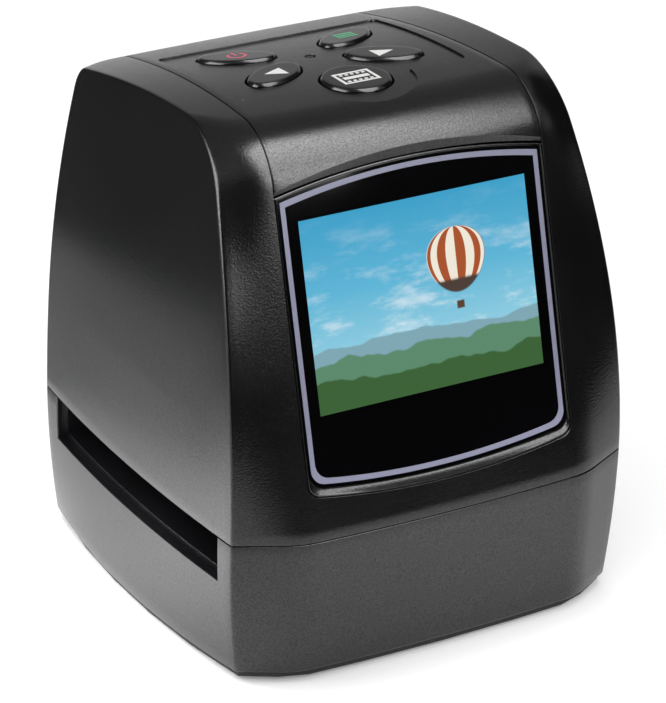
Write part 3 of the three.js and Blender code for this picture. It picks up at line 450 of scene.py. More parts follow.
grid = {"flatColumns": 16, "softColumns": 6, "facetColumns": 4, "edgeSteps": 4,
        "turnSteps": 3, "sideColumns": 40, "circleSides": 72,
        "rows": (30, 12, 34, 12, 30)}  # for each stretch of the middle profile


# x of the columns from the middle of the front to where the crisp edge starts to round, and
# the same drawn in by inset
def halfColumns(z, edge, inset):
    bend, last = softX + softReach(z), edge - case["edgeReach"]
    flat = softX - softReach(z)
    columns = (spread(0, flat, grid["flatColumns"]) + spread(flat, bend, grid["softColumns"])[1:]
               + spread(bend, last, grid["facetColumns"])[1:])
    return [(x, x - inset * max(x - flat, 0) / (edge - flat)) for x in columns]


def edgeCurve(a, corner, b):  # rounding after a to b, drawn to the crisp corner
    return [a * (1 - s) ** 2 + corner * 2 * s * (1 - s) + b * s ** 2
            for s in spread(0, 1, grid["edgeSteps"])[1:]]


def quarterTurn(radius):  # (away, left) of a rolled edge, from its side to its end
    return [(radius * (1 - cos(a)), radius * (1 - sin(a)))
            for a in spread(0, pi / 2, grid["turnSteps"])]


# mesh tools

def mirrored(point):
    return Vector((-point.x, point.y, point.z))


sharpFrom = radians(32)  # edges that turn more than this look crisp
weldWithin = 1e-7


def cleanMesh(mesh):
    work = bmesh.new()
    work.from_mesh(mesh)
    bmesh.ops.remove_doubles(work, verts=work.verts, dist=weldWithin)
    bmesh.ops.recalc_face_normals(work, faces=work.faces)
    for face in work.faces:
        face.smooth = True
    for edge in work.edges:
        edge.smooth = len(edge.link_faces) == 2 and edge.calc_face_angle(0) < sharpFrom
    work.to_mesh(mesh)
    work.free()


def meshFrom(name, points, faces):
    mesh = bpy.data.meshes.new(name)
    mesh.from_pydata([p * millimetre for p in points], [], faces)
    return mesh


def newObject(name, data):
    obj = bpy.data.objects.new(name, data)
    scene.collection.objects.link(obj)
    return obj


# Cutters are taken away from the piece one after another, and then deleted
def carve(obj, cutters):
    for cutter in cutters:
        cut = obj.modifiers.new("carve", "BOOLEAN")
        cut.operation = "DIFFERENCE"
        cut.solver = "EXACT"
        cut.object = cutter
        graph = bpy.context.evaluated_depsgraph_get()
        mesh = bpy.data.meshes.new_from_object(obj.evaluated_get(graph))
        obj.modifiers.clear()
        obj.data = mesh
        bpy.data.objects.remove(cutter)


def makePiece(name, solid, materials, body="case", stands=(), cutters=()):
    mesh = solid if isinstance(solid, bpy.types.Mesh) else meshFrom(name, *solid)
    cleanMesh(mesh)
    obj = newObject(name, mesh)
    carve(obj, cutters)
    cleanMesh(obj.data)
    for material in materials:
        obj.data.materials.append(material)
    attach(obj, body)
    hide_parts(*stands)


def cutterFrom(solid):
    mesh = meshFrom("cutter", *solid)
    cleanMesh(mesh)
    return newObject("cutter", mesh)


def bandFaces(loops):  # quads between each closed loop and the next
    return [quad for upper, lower in zip(loops, loops[1:])
            for quad in zip(upper, upper[1:] + upper[:1], lower[1:] + lower[:1], lower)]


# A solid from rings of equal count, closed at both ends or, for a hollow one, in a circle
def ringSolid(rings, hollow=False):
    count = len(rings[0])
    loops = [list(range(r * count, (r + 1) * count)) for r in range(len(rings))]
    faces = bandFaces(loops + loops[:1]) if hollow else [loops[0], loops[-1]] + bandFaces(loops)
    return [p for ring in rings for p in ring], faces


# A solid sheet over a grid, from its outer to its inner face. The rim has (grow, depth) pairs,
# and pointAt gets row, column, depth and how far a point on the border grows across and up
def gridSolid(pointAt, rows, columns, rim):
    loop = ([(0, c) for c in range(columns)] + [(r, columns) for r in range(rows)]
            + [(rows, c) for c in range(columns, 0, -1)] + [(r, 0) for r in range(rows, 0, -1)])
    points, faces, index = [], [], {}

    def addPoint(r, c, grow, depth):
        aside = grow * ((c == columns) - (c == 0))
        up = grow * ((r == rows) - (r == 0))
        points.append(pointAt(r, c, depth, aside, up))
        return len(points) - 1

    for side, (grow, depth) in (("out", rim[0]), ("in", rim[-1])):
        for r in range(rows + 1):
            for c in range(columns + 1):
                index[side, r, c] = addPoint(r, c, grow, depth)
        faces += [(index[side, r, c], index[side, r, c + 1], index[side, r + 1, c + 1],
                   index[side, r + 1, c]) for r in range(rows) for c in range(columns)]
    bands = [[index["out", r, c] for r, c in loop]]
    bands += [[addPoint(r, c, grow, depth) for r, c in loop] for grow, depth in rim[1:-1]]
    bands.append([index["in", r, c] for r, c in loop])
    return points, faces + bandFaces(bands)


def rolledRim(radius, depth):  # edge of a sheet, rounded outside
    return [(-left, away) for away, left in quarterTurn(radius)] + [(0, depth)]


def flaredRim(radius, depth):  # of a cutter whose hole gets rounded edges
    above, near, far = 0.6, 0.15 * radius, 0.5 * radius  # about a quarter turn
    return [(radius * 1.3 + above, -above), (far, near), (near, far), (0, radius), (0, depth)]


# the upper housing: one skin over front, top and rear, with two side walls

stations = [0] + [t for i, rows in enumerate(grid["rows"]) for t in spread(i, i + 1, rows)[1:]]
cornerRow = grid["rows"][0] + grid["rows"][1] // 2  # rows up to the middle of a rounding
lastRow = len(stations) - 1


def skinRow(t, inset, foot):
    x = cornerX(profileAt(t, foot)[0].z)
    for _ in range(5):  # x and the height of the crisp edge depend on each other
        corner = skinPoint(x, t, 0, foot)
        x = sideX(corner.y, corner.z)
    half = [skinPoint(column, t, inset, foot, drawn)
            for column, drawn in halfColumns(corner.z, x, inset)]
    tip = skinPoint(x, t, inset, foot, x - inset)
    turn = pi / 2 * (clamp(t - 1) + clamp(t - 3))
    side = tip + case["edgeReach"] * Vector((0, cos(turn), -sin(turn)))
    side.x = sideX(side.y, side.z) - inset
    half += edgeCurve(half[-1], tip, side)
    return [mirrored(p) for p in reversed(half[1:])] + half


def sharesOf(values):
    return [(value - values[0]) / (values[-1] - values[0]) for value in values]


# Skin of the housing from foot upwards; gives points, faces and the loop round its open foot
def housingSkin(inset, foot):
    rows = [skinRow(t, inset, foot) for t in stations]
    width = len(rows[0])
    points = [p for row in rows for p in row]
    faces = [(r * width + i, r * width + i + 1, (r + 1) * width + i + 1, (r + 1) * width + i)
             for r in range(lastRow) for i in range(width - 1)]
    feet = []
    for column, sign in ((width - 1, 1), (0, -1)):  # the side walls, between the crisp edges
        edge = [row[column] for row in rows]
        front, rear = edge[:cornerRow + 1], edge[::-1][:cornerRow + 1]
        head = edge[cornerRow:lastRow - cornerRow + 1]
        across = sharesOf([p.y for p in head])
        up = [(a + b) / 2 for a, b in zip(sharesOf([p.z for p in front]),
                                          sharesOf([p.z for p in rear]))]
        columns = len(head) - 1
        index = {(cornerRow, b): (cornerRow + b) * width + column for b in range(columns + 1)}
        for a in range(cornerRow):
            index[a, 0] = a * width + column
            index[a, columns] = (lastRow - a) * width + column
            for b in range(1, columns):
                floor = front[0].lerp(rear[0], across[b])
                point = (front[a].lerp(rear[a], across[b]) + floor.lerp(head[b], up[a])
                         - floor.lerp(head[0].lerp(head[-1], across[b]), up[a]))
                point.x = sign * (sideX(point.y, point.z) - inset)
                index[a, b] = len(points)
                points.append(point)
        faces += [(index[a, b], index[a, b + 1], index[a + 1, b + 1], index[a + 1, b])
                  for a in range(cornerRow) for b in range(columns)]
        feet.append([index[0, b] for b in range(1, columns)])
    loop = (list(range(width)) + feet[0]
            + [lastRow * width + i for i in range(width - 1, -1, -1)] + feet[1][::-1])
    return points, faces, loop


def housingShell():
    radius = case["seamRound"]
    points, faces, loop = housingSkin(0, seamHigh + radius)
    bands = [loop]
    for away, left in quarterTurn(radius)[1:]:
        bands.append([len(points) + i for i in range(len(loop))])
        for i, k in enumerate(loop):
            along = points[loop[(i + 1) % len(loop)]] - points[loop[i - 1]]
            outward = Vector((along.y, -along.x, 0)).normalized()
            points.append(points[k] - outward * away - Vector((0, 0, radius - left)))
    innerPoints, innerFaces, innerLoop = housingSkin(wall, seamHigh)
    offset = len(points)
    faces += [tuple(i + offset for i in reversed(face)) for face in innerFaces]
    bands.append([i + offset for i in innerLoop])
    return points + innerPoints, faces + bandFaces(bands)


# the screen's own directions: u across, v up its slope, w out of it

screen = {
    "pictureWidth": 48.96,
    "pictureHeight": 36.72,
    "surfaceLift": 1.25,      # the case's front stands this far before the glass in the middle
    "surfaceMean": 0.9,       # and about this far on average
    "windowReach": 25.86,     # from the picture's middle to the top of the CAD window
    "line": {"half": 27.83, "head": 22.41, "rise": 2.7, "foot": 30.71, "sag": 2.2, "radius": 3},
    "window": {"half": 28.38, "head": 23.12, "rise": 2.74, "foot": 31.5, "sag": 2.2, "radius": 3},
    "frame": {"half": 28.98, "head": 23.7, "rise": 2.9, "foot": 32.96, "sag": 2.4, "radius": 2.6},
    "lip": {"half": 28.98, "head": 24.4, "rise": 3.9, "foot": 32.96, "sag": 2.4, "radius": 2.6},
    "lipHeight": 0.12,        # the cover's lip slopes down to this height before the glass
    "lipEdge": ((0.1, 6), (0.1, 0.01), (0, -0.07)),     # (grow, height over the front)
    "lipFoot": ((0, 0), (-0.5, 0.3), (-0.8, 4)),        # (grow, depth under lipHeight)
    "fit": 0.1,               # narrow visible gap round the bezel and round the glass
    "headFit": 0.28,          # the gap under the cover's lip is wider
    "cutAbove": 6, "cutDepth": 12,
    "cornerSteps": 8, "sideSteps": 18, "footSteps": 24, "headSteps": 28,
}
windowTop = nodeBox("screen_window")[1].z
screenZ = windowTop - screen["windowReach"] * cosTilt
screenY = slopeY(screenZ) + screen["surfaceLift"] / cosTilt


def onScreen(u, v, w):
    return Vector((u, screenY + v * sinTilt - w * cosTilt, screenZ + v * cosTilt + w * sinTilt))


def surfaceW(u, v):  # how far the case's front stands out of the glass plane there
    z = screenZ + v * cosTilt + screen["surfaceMean"] * sinTilt
    return screen["surfaceLift"] - (frontBack(u, z) + frontMiddleY(z) - slopeY(z)) * cosTilt


def filletCorner(corner, a, b, radius):
    toA, toB = (a - corner).normalized(), (b - corner).normalized()
    half = toA.angle(toB) / 2
    centre = corner + (toA + toB).normalized() * radius / sin(half)
    start = corner + toA * radius / tan(half) - centre
    turn = pi - 2 * half
    turn = -turn if start.x * toB.y - start.y * toB.x < 0 else turn
    return [centre + Vector((start.x * cos(a) - start.y * sin(a),
                             start.x * sin(a) + start.y * cos(a)))
            for a in spread(0, turn, screen["cornerSteps"])]


# Outline with an arched head, upright sides and a sagging foot
def screenOutline(size, grow=0):
    half, head, foot = size["half"] + grow, size["head"] + grow, size["foot"] + grow

    def footPoint(u):
        return Vector((u, -foot - size["sag"] * (1 - (u / half) ** 2)))

    corner = filletCorner(footPoint(half), Vector((half, 0)),
                          footPoint(half - 2 * size["radius"]), size["radius"])
    right = [Vector((half, v)) for v in spread(head, corner[0].y, screen["sideSteps"])[:-1]]
    right += corner
    low = [footPoint(u) for u in spread(corner[-1].x, -corner[-1].x, screen["footSteps"])[1:-1]]
    left = [Vector((-p.x, p.y)) for p in reversed(right)]
    top = [Vector((u, head + size["rise"] * (1 - (u / half) ** 2)))
           for u in spread(-half, half, screen["headSteps"])[1:-1]]
    return right + low + left + top


def screenRing(size, grow, height):  # height is one w or a function that gives it for a point
    return [onScreen(p.x, p.y, height(p) if callable(height) else height)
            for p in screenOutline(size, grow)]


def openingCutter():  # takes the screen's opening out of the housing, edges rounded
    rim = flaredRim(case["seamRound"], screen["cutDepth"])
    rings = [screenRing(screen["frame"], rim[0][0], screen["cutAbove"])]
    rings += [screenRing(screen["frame"], grow, lambda p: surfaceW(p.x, p.y) - depth)
              for grow, depth in rim]
    return cutterFrom(ringSolid(rings))


# Slopes the cover's front edge down towards the glass, from the arched lip to the seam
def lipCutter():
    rings = [screenRing(screen["lip"], grow, lambda p: max(surfaceW(p.x, p.y), 0) + height)
             for grow, height in screen["lipEdge"]]
    rings += [screenRing(screen["frame"], grow, screen["lipHeight"] - depth)
              for grow, depth in screen["lipFoot"]]
    return cutterFrom(ringSolid(rings))


# the centre cover: its seams taper, its foot is on the rear

cover = {"half": 28.9, "taper": radians(2.4), "drop": 45.6,
         "frontRows": 18, "topRows": 34, "roundRows": 10, "rearRows": 24, "columns": 32}
coverCornerY = screenY + screen["frame"]["head"] * sinTilt
coverFoot = crown - cover["drop"]
hoodLength = (hoodEnd - hoodStart) * hoodRadius


def coverHalf(y):
    return cover["half"] - (y - coverCornerY) * tan(cover["taper"])


def lengthAt(z):  # along the front and the hood, from where the hood starts to round
    if z < hoodFoot:
        return (z - hoodFoot) / cosTilt
    return (-acos((z - hoodCentre.z) / hoodRadius) - hoodStart) * hoodRadius


def stationAt(length):
    run = (hoodFoot - seamHigh) / cosTilt if length < 0 else hoodLength
    return 1 + length / run


def coverSheet(shrink, rim):
    frontRows, rearRows, columns = cover["frontRows"], cover["rearRows"], cover["columns"]
    body = spread(2, 3, cover["topRows"]) + spread(3, 4, cover["roundRows"])[1:] + [4] * rearRows
    rows = frontRows + len(body) - 1

    def pointAt(row, column, depth, aside, up):
        across = 2 * column / columns - 1
        t = body[max(row - frontRows, 0)]
        if row < frontRows:
            v = screen["frame"]["head"] + screen["frame"]["rise"] * (1 - across ** 2) + shrink
            z = screenZ + v * cosTilt + surfaceW(across * cover["half"], v) * sinTilt
            t = stationAt(lerp(lengthAt(z) + up, hoodLength, row / frontRows))
        if row > rows - rearRows:
            last = 4 + (rearWallZ - coverFoot - shrink + up) / (rearWallZ - seamHigh)
            t = lerp(4, last, 1 - (rows - row) / rearRows)
        half = coverHalf(profileAt(t, seamHigh)[0].y) - shrink
        return skinPoint(across * half + aside, t, depth)

    return gridSolid(pointAt, rows, columns, rim)


# keys and their panel: places come from the switches under them

keyForm = {
    "petalLong": 7.5, "petalShort": 4.1, "scanRadius": 6.8, "slit": 0.35, "holeRound": 0.2,
    "proud": 0.3, "flange": 1, "flangeThick": 1.1, "stemRadius": 1.6, "stemSink": 0.3,
    "bevel": ((0, -0.48), (-0.02, -0.38), (-0.06, -0.28), (-0.09, -0.22), (-0.32, 0.16),
              (-0.38, 0.22), (-0.48, 0.265), (-0.64, 0.29)),  # (grow, height over the panel)
    "flat": (-0.9, -2.2, -3.4),
}
panel = {"half": 24.2, "rear": 16.8, "front": 17.8, "bulge": 11.5, "depth": 0.35, "corner": 1.2,
         "round": 0.25, "rows": 16, "cornerSteps": 4, "flankSteps": 6, "bulgeSteps": 20}
led = {"radius": 0.9, "dome": 0.15, "domeTurns": (20, 40, 60, 78), "sunk": 0.3, "slit": 0.15,
       "flange": 2, "flangeThick": 1, "body": 1.5, "height": 7, "cone": 1}
holeDepth = 8  # of the cutters for the keys and the light
keys = {}
for name in ("power", "left", "menu", "right", "scan"):
    low, high = nodeBox(name + "_switch")
    middle = (low + high) / 2
    keys[name] = {"x": middle.x, "y": middle.y, "long": keyForm["petalLong"],
                  "short": keyForm["petalShort"]}
led["y"] = (keys["power"]["y"] + keys["left"]["y"]) / 2
for key in keys.values():
    key["angle"] = atan2(key["y"] - led["y"], key["x"])
keys["scan"].update(angle=0, long=keyForm["scanRadius"], short=keyForm["scanRadius"])
fullTurn = spread(0, 2 * pi, grid["circleSides"])[:-1]


def onKey(key, a, b, lift):  # point a across and b to the rear of a key's middle
    slope = (crownY - key["y"]) / case["topRadius"]
    return Vector((key["x"] + a, key["y"] + b, archHeight(key["y"]) + slope * b + lift))


def keyRing(key, grow, lift):
    cosine, sine = cos(key["angle"]), sin(key["angle"])
    oval = [((key["long"] + grow) * cos(turn), (key["short"] + grow) * sin(turn))
            for turn in fullTurn]
    return [onKey(key, a * cosine - b * sine, a * sine + b * cosine, lift) for a, b in oval]


def circle(x, y, z, radius):
    return [Vector((x + radius * cos(turn), y + radius * sin(turn), z)) for turn in fullTurn]


def panelCutter():
    half, corner, bulge = panel["half"], panel["corner"], panel["bulge"]
    ends = [half - corner + corner * sin(a) for a in spread(pi / 2, 0, panel["cornerSteps"])]
    ends += spread(half - corner, bulge, panel["flankSteps"])[1:-1]
    arc = [bulge * sin(a) for a in spread(-pi / 2, pi / 2, panel["bulgeSteps"])]
    across = [-x for x in ends] + arc + ends[::-1]
    last, rows = len(across) - 1, panel["rows"]

    def pointAt(row, column, depth, aside, up):
        x = across[column]
        past = max(abs(x) - (half - corner), 0)
        cut = corner - sqrt(max(corner ** 2 - past ** 2, 0))
        front = led["y"] - panel["front"] + cut
        if abs(x) < bulge:
            front = min(front, keys["scan"]["y"] - sqrt(bulge ** 2 - x ** 2))
        y = lerp(front, led["y"] + panel["rear"] - cut, row / rows) + up
        return Vector((x + aside, y, archHeight(y) - depth))

    return cutterFrom(gridSolid(pointAt, rows, last, flaredRim(panel["round"], panel["depth"])))


def keyHole(key):
    rings = [keyRing(key, keyForm["slit"] + grow, -panel["depth"] - depth)
             for grow, depth in flaredRim(keyForm["holeRound"], holeDepth)]
    return cutterFrom(ringSolid(rings))


def ledHole():
    top = archHeight(led["y"]) - panel["depth"]
    rings = [circle(0, led["y"], top - depth, led["radius"] + led["slit"] + grow)
             for grow, depth in flaredRim(led["slit"], holeDepth)]
    return cutterFrom(ringSolid(rings))


def cutterBox(low, high):
    outline = ((low[0], low[1]), (high[0], low[1]), (high[0], high[1]), (low[0], high[1]))
    rings = [[Vector((x, y, z)) for x, y in outline] for z in (low[2], high[2])]
    return cutterFrom(ringSolid(rings))


socket = {"gap": 0.3, "radius": 0.7, "inside": 8, "outside": 4, "cornerSteps": 4}


def socketCutter(name):  # rounded opening in the rear round a socket
    low, high = nodeBox(name)
    middle, half = (low + high) / 2, (high - low) / 2
    outline = []
    for i, (sideways, upwards) in enumerate(((1, 1), (-1, 1), (-1, -1), (1, -1))):
        x = middle.x + sideways * (half.x + socket["gap"] - socket["radius"])
        z = middle.z + upwards * (half.z + socket["gap"] - socket["radius"])
        outline += [(x + socket["radius"] * cos(turn), z + socket["radius"] * sin(turn))
                    for turn in spread(i * pi / 2, (i + 1) * pi / 2, socket["cornerSteps"])]
    return cutterFrom(ringSolid([[Vector((x, y, z)) for x, z in outline] for y in (
        halfDepth - socket["inside"], halfDepth + socket["outside"])]))


coverCut = wall + 3  # well through the wall
coverOpening = cutterFrom(coverSheet(0, flaredRim(case["seamRound"], coverCut)))
makePiece("housing", housingShell(), [satinAbs], stands=["upper_housing"],
          cutters=[openingCutter(), coverOpening, socketCutter("usb_socket"),
                   socketCutter("card_socket")])
makePiece("cover", coverSheet(case["seamGap"], rolledRim(case["seamRound"], wall)), [satinAbs],
          stands=["top_cover"],
          cutters=[lipCutter(), panelCutter()] + [keyHole(key) for key in keys.values()]
          + [ledHole()])
print("housing and cover done")


# the base: crisp corners, a film slot through it from side to side

base = {
    "floorRound": 0.5, "rows": 12,
    "mouthFront": -32.4, "mouthRear": 33.5, "mouthFloor": 20.5, "mouthDepth": 1.8,
    "mouthRound": 0.25, "mouthAbove": 4, "mouthRows": 6, "mouthColumns": 30,
    "channelFront": -30.9, "channelRear": 32.0, "channelFloor": 22.0,
    "deck": 2.1,
    "reach": 60, "above": 9, "below": 3, "lightBelow": 8,  # how far the cutters go past it
}


def caseRing(z, inset=0):
    corner = cornerX(z)
    front, rear = [], []
    for x, drawn in halfColumns(z, corner, inset):
        front.append(Vector((drawn, tuck(z) - halfDepth + frontBack(x, z) + inset, z)))
        rear.append(Vector((drawn, halfDepth - tuck(z) - rearBack(x, z) - inset, z)))
    for line, edgeY, sign in ((front, frontEdgeY(z), 1), (rear, rearEdgeY(z), -1)):
        tip = Vector((corner - inset, edgeY + sign * inset, z))
        y = tip.y + sign * case["edgeReach"]
        line += edgeCurve(line[-1], tip, Vector((sideX(y, z) - inset, y, z)))
    side = [Vector((sideX(y, z) - inset, y, z))
            for y in spread(front[-1].y, rear[-1].y, grid["sideColumns"])[1:-1]]
    right = front + side + rear[::-1]
    return right + [mirrored(p) for p in reversed(right[1:-1])]


def mouthCutter(sign):  # recess of the side's face round the film slot
    rows, columns = base["mouthRows"], base["mouthColumns"]

    def pointAt(row, column, depth, aside, up):
        y = lerp(base["mouthFront"], base["mouthRear"], column / columns) + aside
        z = lerp(base["mouthFloor"], seam + base["mouthAbove"], row / rows) + min(up, 0)
        return Vector((sign * (sideX(y, z) - depth), y, z))

    rim = flaredRim(base["mouthRound"], base["mouthDepth"])
    return cutterFrom(gridSolid(pointAt, rows, columns, rim))


def baseCutters():
    low, high = nodeBox("diffuser")
    channel = cutterBox((-base["reach"], base["channelFront"], base["channelFloor"]),
                        (base["reach"], base["channelRear"], seam + base["above"]))
    hollow = cutterFrom(ringSolid([caseRing(z, wall) for z in (
        floorZ - base["below"], base["mouthFloor"] - base["deck"])]))
    light = cutterBox((low.x - gap, low.y - gap, low.z - base["lightBelow"]),
                      (high.x + gap, high.y + gap, seam))
    return [mouthCutter(1), mouthCutter(-1), channel, hollow, light]


# Heights of the base's rings, and how far each is drawn in
def baseLevels():
    low, high = floorZ + base["floorRound"], seamLow - case["seamRound"]
    return ([(floorZ + away, left) for away, left in quarterTurn(base["floorRound"])]
            + [(z, 0) for z in spread(low, high, base["rows"])[1:-1]]
            + [(seamLow - left, away) for away, left in quarterTurn(case["seamRound"])])


makePiece("base", ringSolid([caseRing(z, inset) for z, inset in baseLevels()]), [satinAbs],
          stands=["base_housing"], cutters=baseCutters())
print("base done")


# the bezel: a thin ring, dished under the hood and above the chin

bezel = {
    "under": 0.8,             # it goes this far under the case's wall
    "edge": ((0, 0.3), (0.06, 0.1)),  # (inwards, depth) of its outer edge
    "margin": 0.2, "marginShare": 0.12, "marginSink": 0.02,
    "dish": (0.12, 0.3, 0.5, 0.7, 0.84, 0.94, 1), "dishPower": 1.4,
    "innerHeight": 0.05,      # over the glass
    "headBlend": 3,           # the rim goes down to the cover's lip over this height
}


def screenBezel():
    size = dict(screen["frame"], head=screen["frame"]["head"] - screen["headFit"] + screen["fit"])
    fit, under = screen["fit"], -wall - bezel["under"]
    lip = screenOutline(size, -fit - bezel["margin"])
    inner = screenOutline(screen["window"], fit)

    def rimW(p):  # level with the case at the sides and foot, with the cover's lip at the head
        head = smooth(clamp((p.y - screen["frame"]["head"]) / bezel["headBlend"] + 1))
        return lerp(surfaceW(p.x, p.y), screen["lipHeight"], head)

    def ring(share, drop, sink=0):
        between = [a.lerp(b, share) for a, b in zip(lip, inner)]
        return [onScreen(p.x, p.y, lerp(rimW(p) - sink, bezel["innerHeight"], drop))
                for p in between]

    rings = [screenRing(size, -fit, under)]
    rings += [screenRing(size, -fit - inwards, lambda p: rimW(p) - depth)
              for inwards, depth in bezel["edge"]]
    start = bezel["marginShare"]
    rings += [ring(0, 0), ring(start, 0, bezel["marginSink"])]
    rings += [ring(lerp(start, 1, s), 1 - (1 - s) ** bezel["dishPower"]) for s in bezel["dish"]]
    rings.append(screenRing(screen["window"], fit, under))
    return ringSolid(rings, hollow=True)


makePiece("bezel", screenBezel(), [satinAbs], stands=["screen_bezel"])


# the window: black sheet with a printed line round it and the picture in its middle

window = {"thick": 1.5, "lineWidth": 1.0, "round": 0.06}
picture = {  # places and sizes are shares of its height, and across of its width
    "skyLow": "#c9e3ea", "skyHigh": "#3f9fc8",
    "skyBetween": ((0.3, "#8ccbe0"), (0.6, "#5fb5d6")),
    "cloud": "#f2f7f9", "cloudAcross": 3.2, "cloudUp": 6.5, "cloudFrom": 0.58,
    "cloudSoft": 0.1, "cloudShare": 0.95,
    "hills": ((0.24, 0.16, 2.3, 3.7, "#7fa7b4"), (0.15, 0.2, 3.1, 9.2, "#5d8a6c"),
              (0.04, 0.2, 2.6, 1.4, "#3d6238")),  # foot, rise, pitch, start and colour
    "balloonAcross": 0.66, "balloonUp": 0.64, "balloonRadius": 0.17, "balloonTaper": 0.9,
    "gores": 9.0, "cream": "#efe8d8", "rust": "#a8542f", "skirt": "#4d3f38", "skirtUp": -0.1,
    "basket": "#5b4331", "basketHalf": (0.022, 0.02), "basketDrop": 0.235,
    "edge": 0.006, "stripeEdge": 0.12, "skirtEdge": 0.01, "basketEdge": 0.004,
}


# Backlit picture: a sky that pales downwards, thin cloud, three ranges of hills and a balloon
def litPicture(tree, place, look):
    halfWidth = screen["pictureWidth"] / 2 * millimetre
    halfHeight = screen["pictureHeight"] / 2 * cosTilt * millimetre
    middle = screenZ * millimetre
    axes = addNode(tree, "SeparateXYZ", {"Vector": place})
    across = addNode(tree, "MapRange", {
        "Value": axes.outputs["X"], "From Min": -halfWidth, "From Max": halfWidth})
    up = addNode(tree, "MapRange", {
        "Value": axes.outputs["Z"], "From Min": middle - halfHeight,
        "From Max": middle + halfHeight})

    def maths(kind, a, b=0.0, c=0.0):
        return addNode(tree, "Math", {0: a, 1: b, 2: c}, {"operation": kind})

    def step(value, soft):  # 0 to 1 where the value passes zero
        return addNode(tree, "MapRange", {"Value": value, "From Min": -soft, "From Max": soft},
                       {"interpolation_type": "SMOOTHSTEP"})

    def over(below, above, mask):
        return addNode(tree, "Mix", {0: mask, 6: below, 7: above},
                       {"data_type": "RGBA"}).outputs[2]

    image = addNode(tree, "ValToRGB", {"Fac": up}, stops=(
        (0, look["skyLow"]), (1, look["skyHigh"])) + look["skyBetween"])
    cloudPlace = addNode(tree, "CombineXYZ", {
        "X": maths("MULTIPLY", across, look["cloudAcross"]),
        "Y": maths("MULTIPLY", up, look["cloudUp"])})
    cloud = addNode(tree, "TexNoise", {
        "Vector": cloudPlace, "Scale": 1.0, "Detail": 6, "Roughness": 0.62})
    thin = maths("MULTIPLY", maths("SUBTRACT", 1.0, up), step(
        maths("SUBTRACT", cloud, look["cloudFrom"]), look["cloudSoft"]))
    image = over(image, look["cloud"], maths("MULTIPLY", thin, look["cloudShare"]))
    for foot, rise, pitch, start, colour in look["hills"]:
        wave = addNode(tree, "TexNoise", {
            "W": maths("MULTIPLY_ADD", across, pitch, start), "Scale": 1.0, "Detail": 3},
            {"noise_dimensions": "1D"})
        ridge = maths("MULTIPLY_ADD", wave, rise, foot)
        image = over(image, colour, step(maths("SUBTRACT", ridge, up), look["edge"]))
    toSide = maths("MULTIPLY", maths("SUBTRACT", across, look["balloonAcross"]),
                   screen["pictureWidth"] / screen["pictureHeight"])
    toTop = maths("SUBTRACT", up, look["balloonUp"])
    narrow = maths("MULTIPLY_ADD", toTop, look["balloonTaper"], 1.0)  # draws in to its foot
    wide, radius = maths("DIVIDE", toSide, narrow), look["balloonRadius"]
    topSquare = maths("MULTIPLY", toTop, toTop)
    away = maths("SQRT", maths("ADD", maths("MULTIPLY", wide, wide), topSquare))
    halfChord = maths("SQRT", maths("MAXIMUM", maths("SUBTRACT", radius ** 2, topSquare),
                                    0.0004))  # well off zero
    gore = maths("MINIMUM", maths("MAXIMUM", maths("DIVIDE", wide, halfChord), -1.0), 1.0)
    stripe = maths("SINE", maths("MULTIPLY", maths("ARCSINE", gore), look["gores"]))
    fabric = over(look["cream"], look["rust"], step(stripe, look["stripeEdge"]))
    fabric = over(fabric, look["skirt"], step(
        maths("SUBTRACT", look["skirtUp"], toTop), look["skirtEdge"]))
    image = over(image, fabric, step(maths("SUBTRACT", radius, away), look["edge"]))
    basketSide = maths("SUBTRACT", look["basketHalf"][0], maths("ABSOLUTE", toSide))
    basketTop = maths("SUBTRACT", look["basketHalf"][1], maths(
        "ABSOLUTE", maths("ADD", toTop, look["basketDrop"])))
    image = over(image, look["basket"], step(
        maths("MINIMUM", basketSide, basketTop), look["basketEdge"]))
    return addNode(tree, "BsdfPrincipled", {
        "Base Color": "#050506", "Roughness": 0.07, "IOR": 1.49, "Emission Color": image,
        "Emission Strength": 1.0})


def screenWindow():
    radius = window["round"]
    levels = [("window", 0, -window["thick"]), ("window", 0, -radius),
              ("window", -0.13 * radius, -0.5 * radius), ("window", -0.5 * radius, -0.13 * radius),
              ("window", -radius, 0), ("window", -1.5 * radius, 0), ("line", 0, 0),
              ("line", -window["lineWidth"], 0)]
    work = bmesh.new()
    rings = [[work.verts.new(p * millimetre) for p in screenRing(screen[name], grow, w)]
             for name, grow, w in levels]
    work.faces.new(rings[0])
    for quad in bandFaces(rings[:-1]):
        work.faces.new(quad)
    for quad in bandFaces(rings[-2:]):
        work.faces.new(quad).material_index = 1
    halfU, halfV = screen["pictureWidth"] / 2, screen["pictureHeight"] / 2
    lit = work.faces.new([work.verts.new(onScreen(u, v, 0) * millimetre) for u, v in (
        (-halfU, -halfV), (halfU, -halfV), (halfU, halfV), (-halfU, halfV))])
    lit.material_index = 2
    rim = [work.edges.get(ends) for ends in zip(rings[-1], rings[-1][1:] + rings[-1][:1])]
    bmesh.ops.triangle_fill(work, use_beauty=True, edges=rim + list(lit.edges),
                            normal=Vector((0, -cosTilt, sinTilt)))
    mesh = bpy.data.meshes.new("window")
    work.to_mesh(mesh)
    work.free()
    return mesh


makePiece("window", screenWindow(),
          [acrylic, lilacInk, newMaterial("litPicture", litPicture, picture)],
          stands=["screen_window"])
print("screen done")


# keys: ovals with a steep bevel and a flat top, on stems that reach the switches

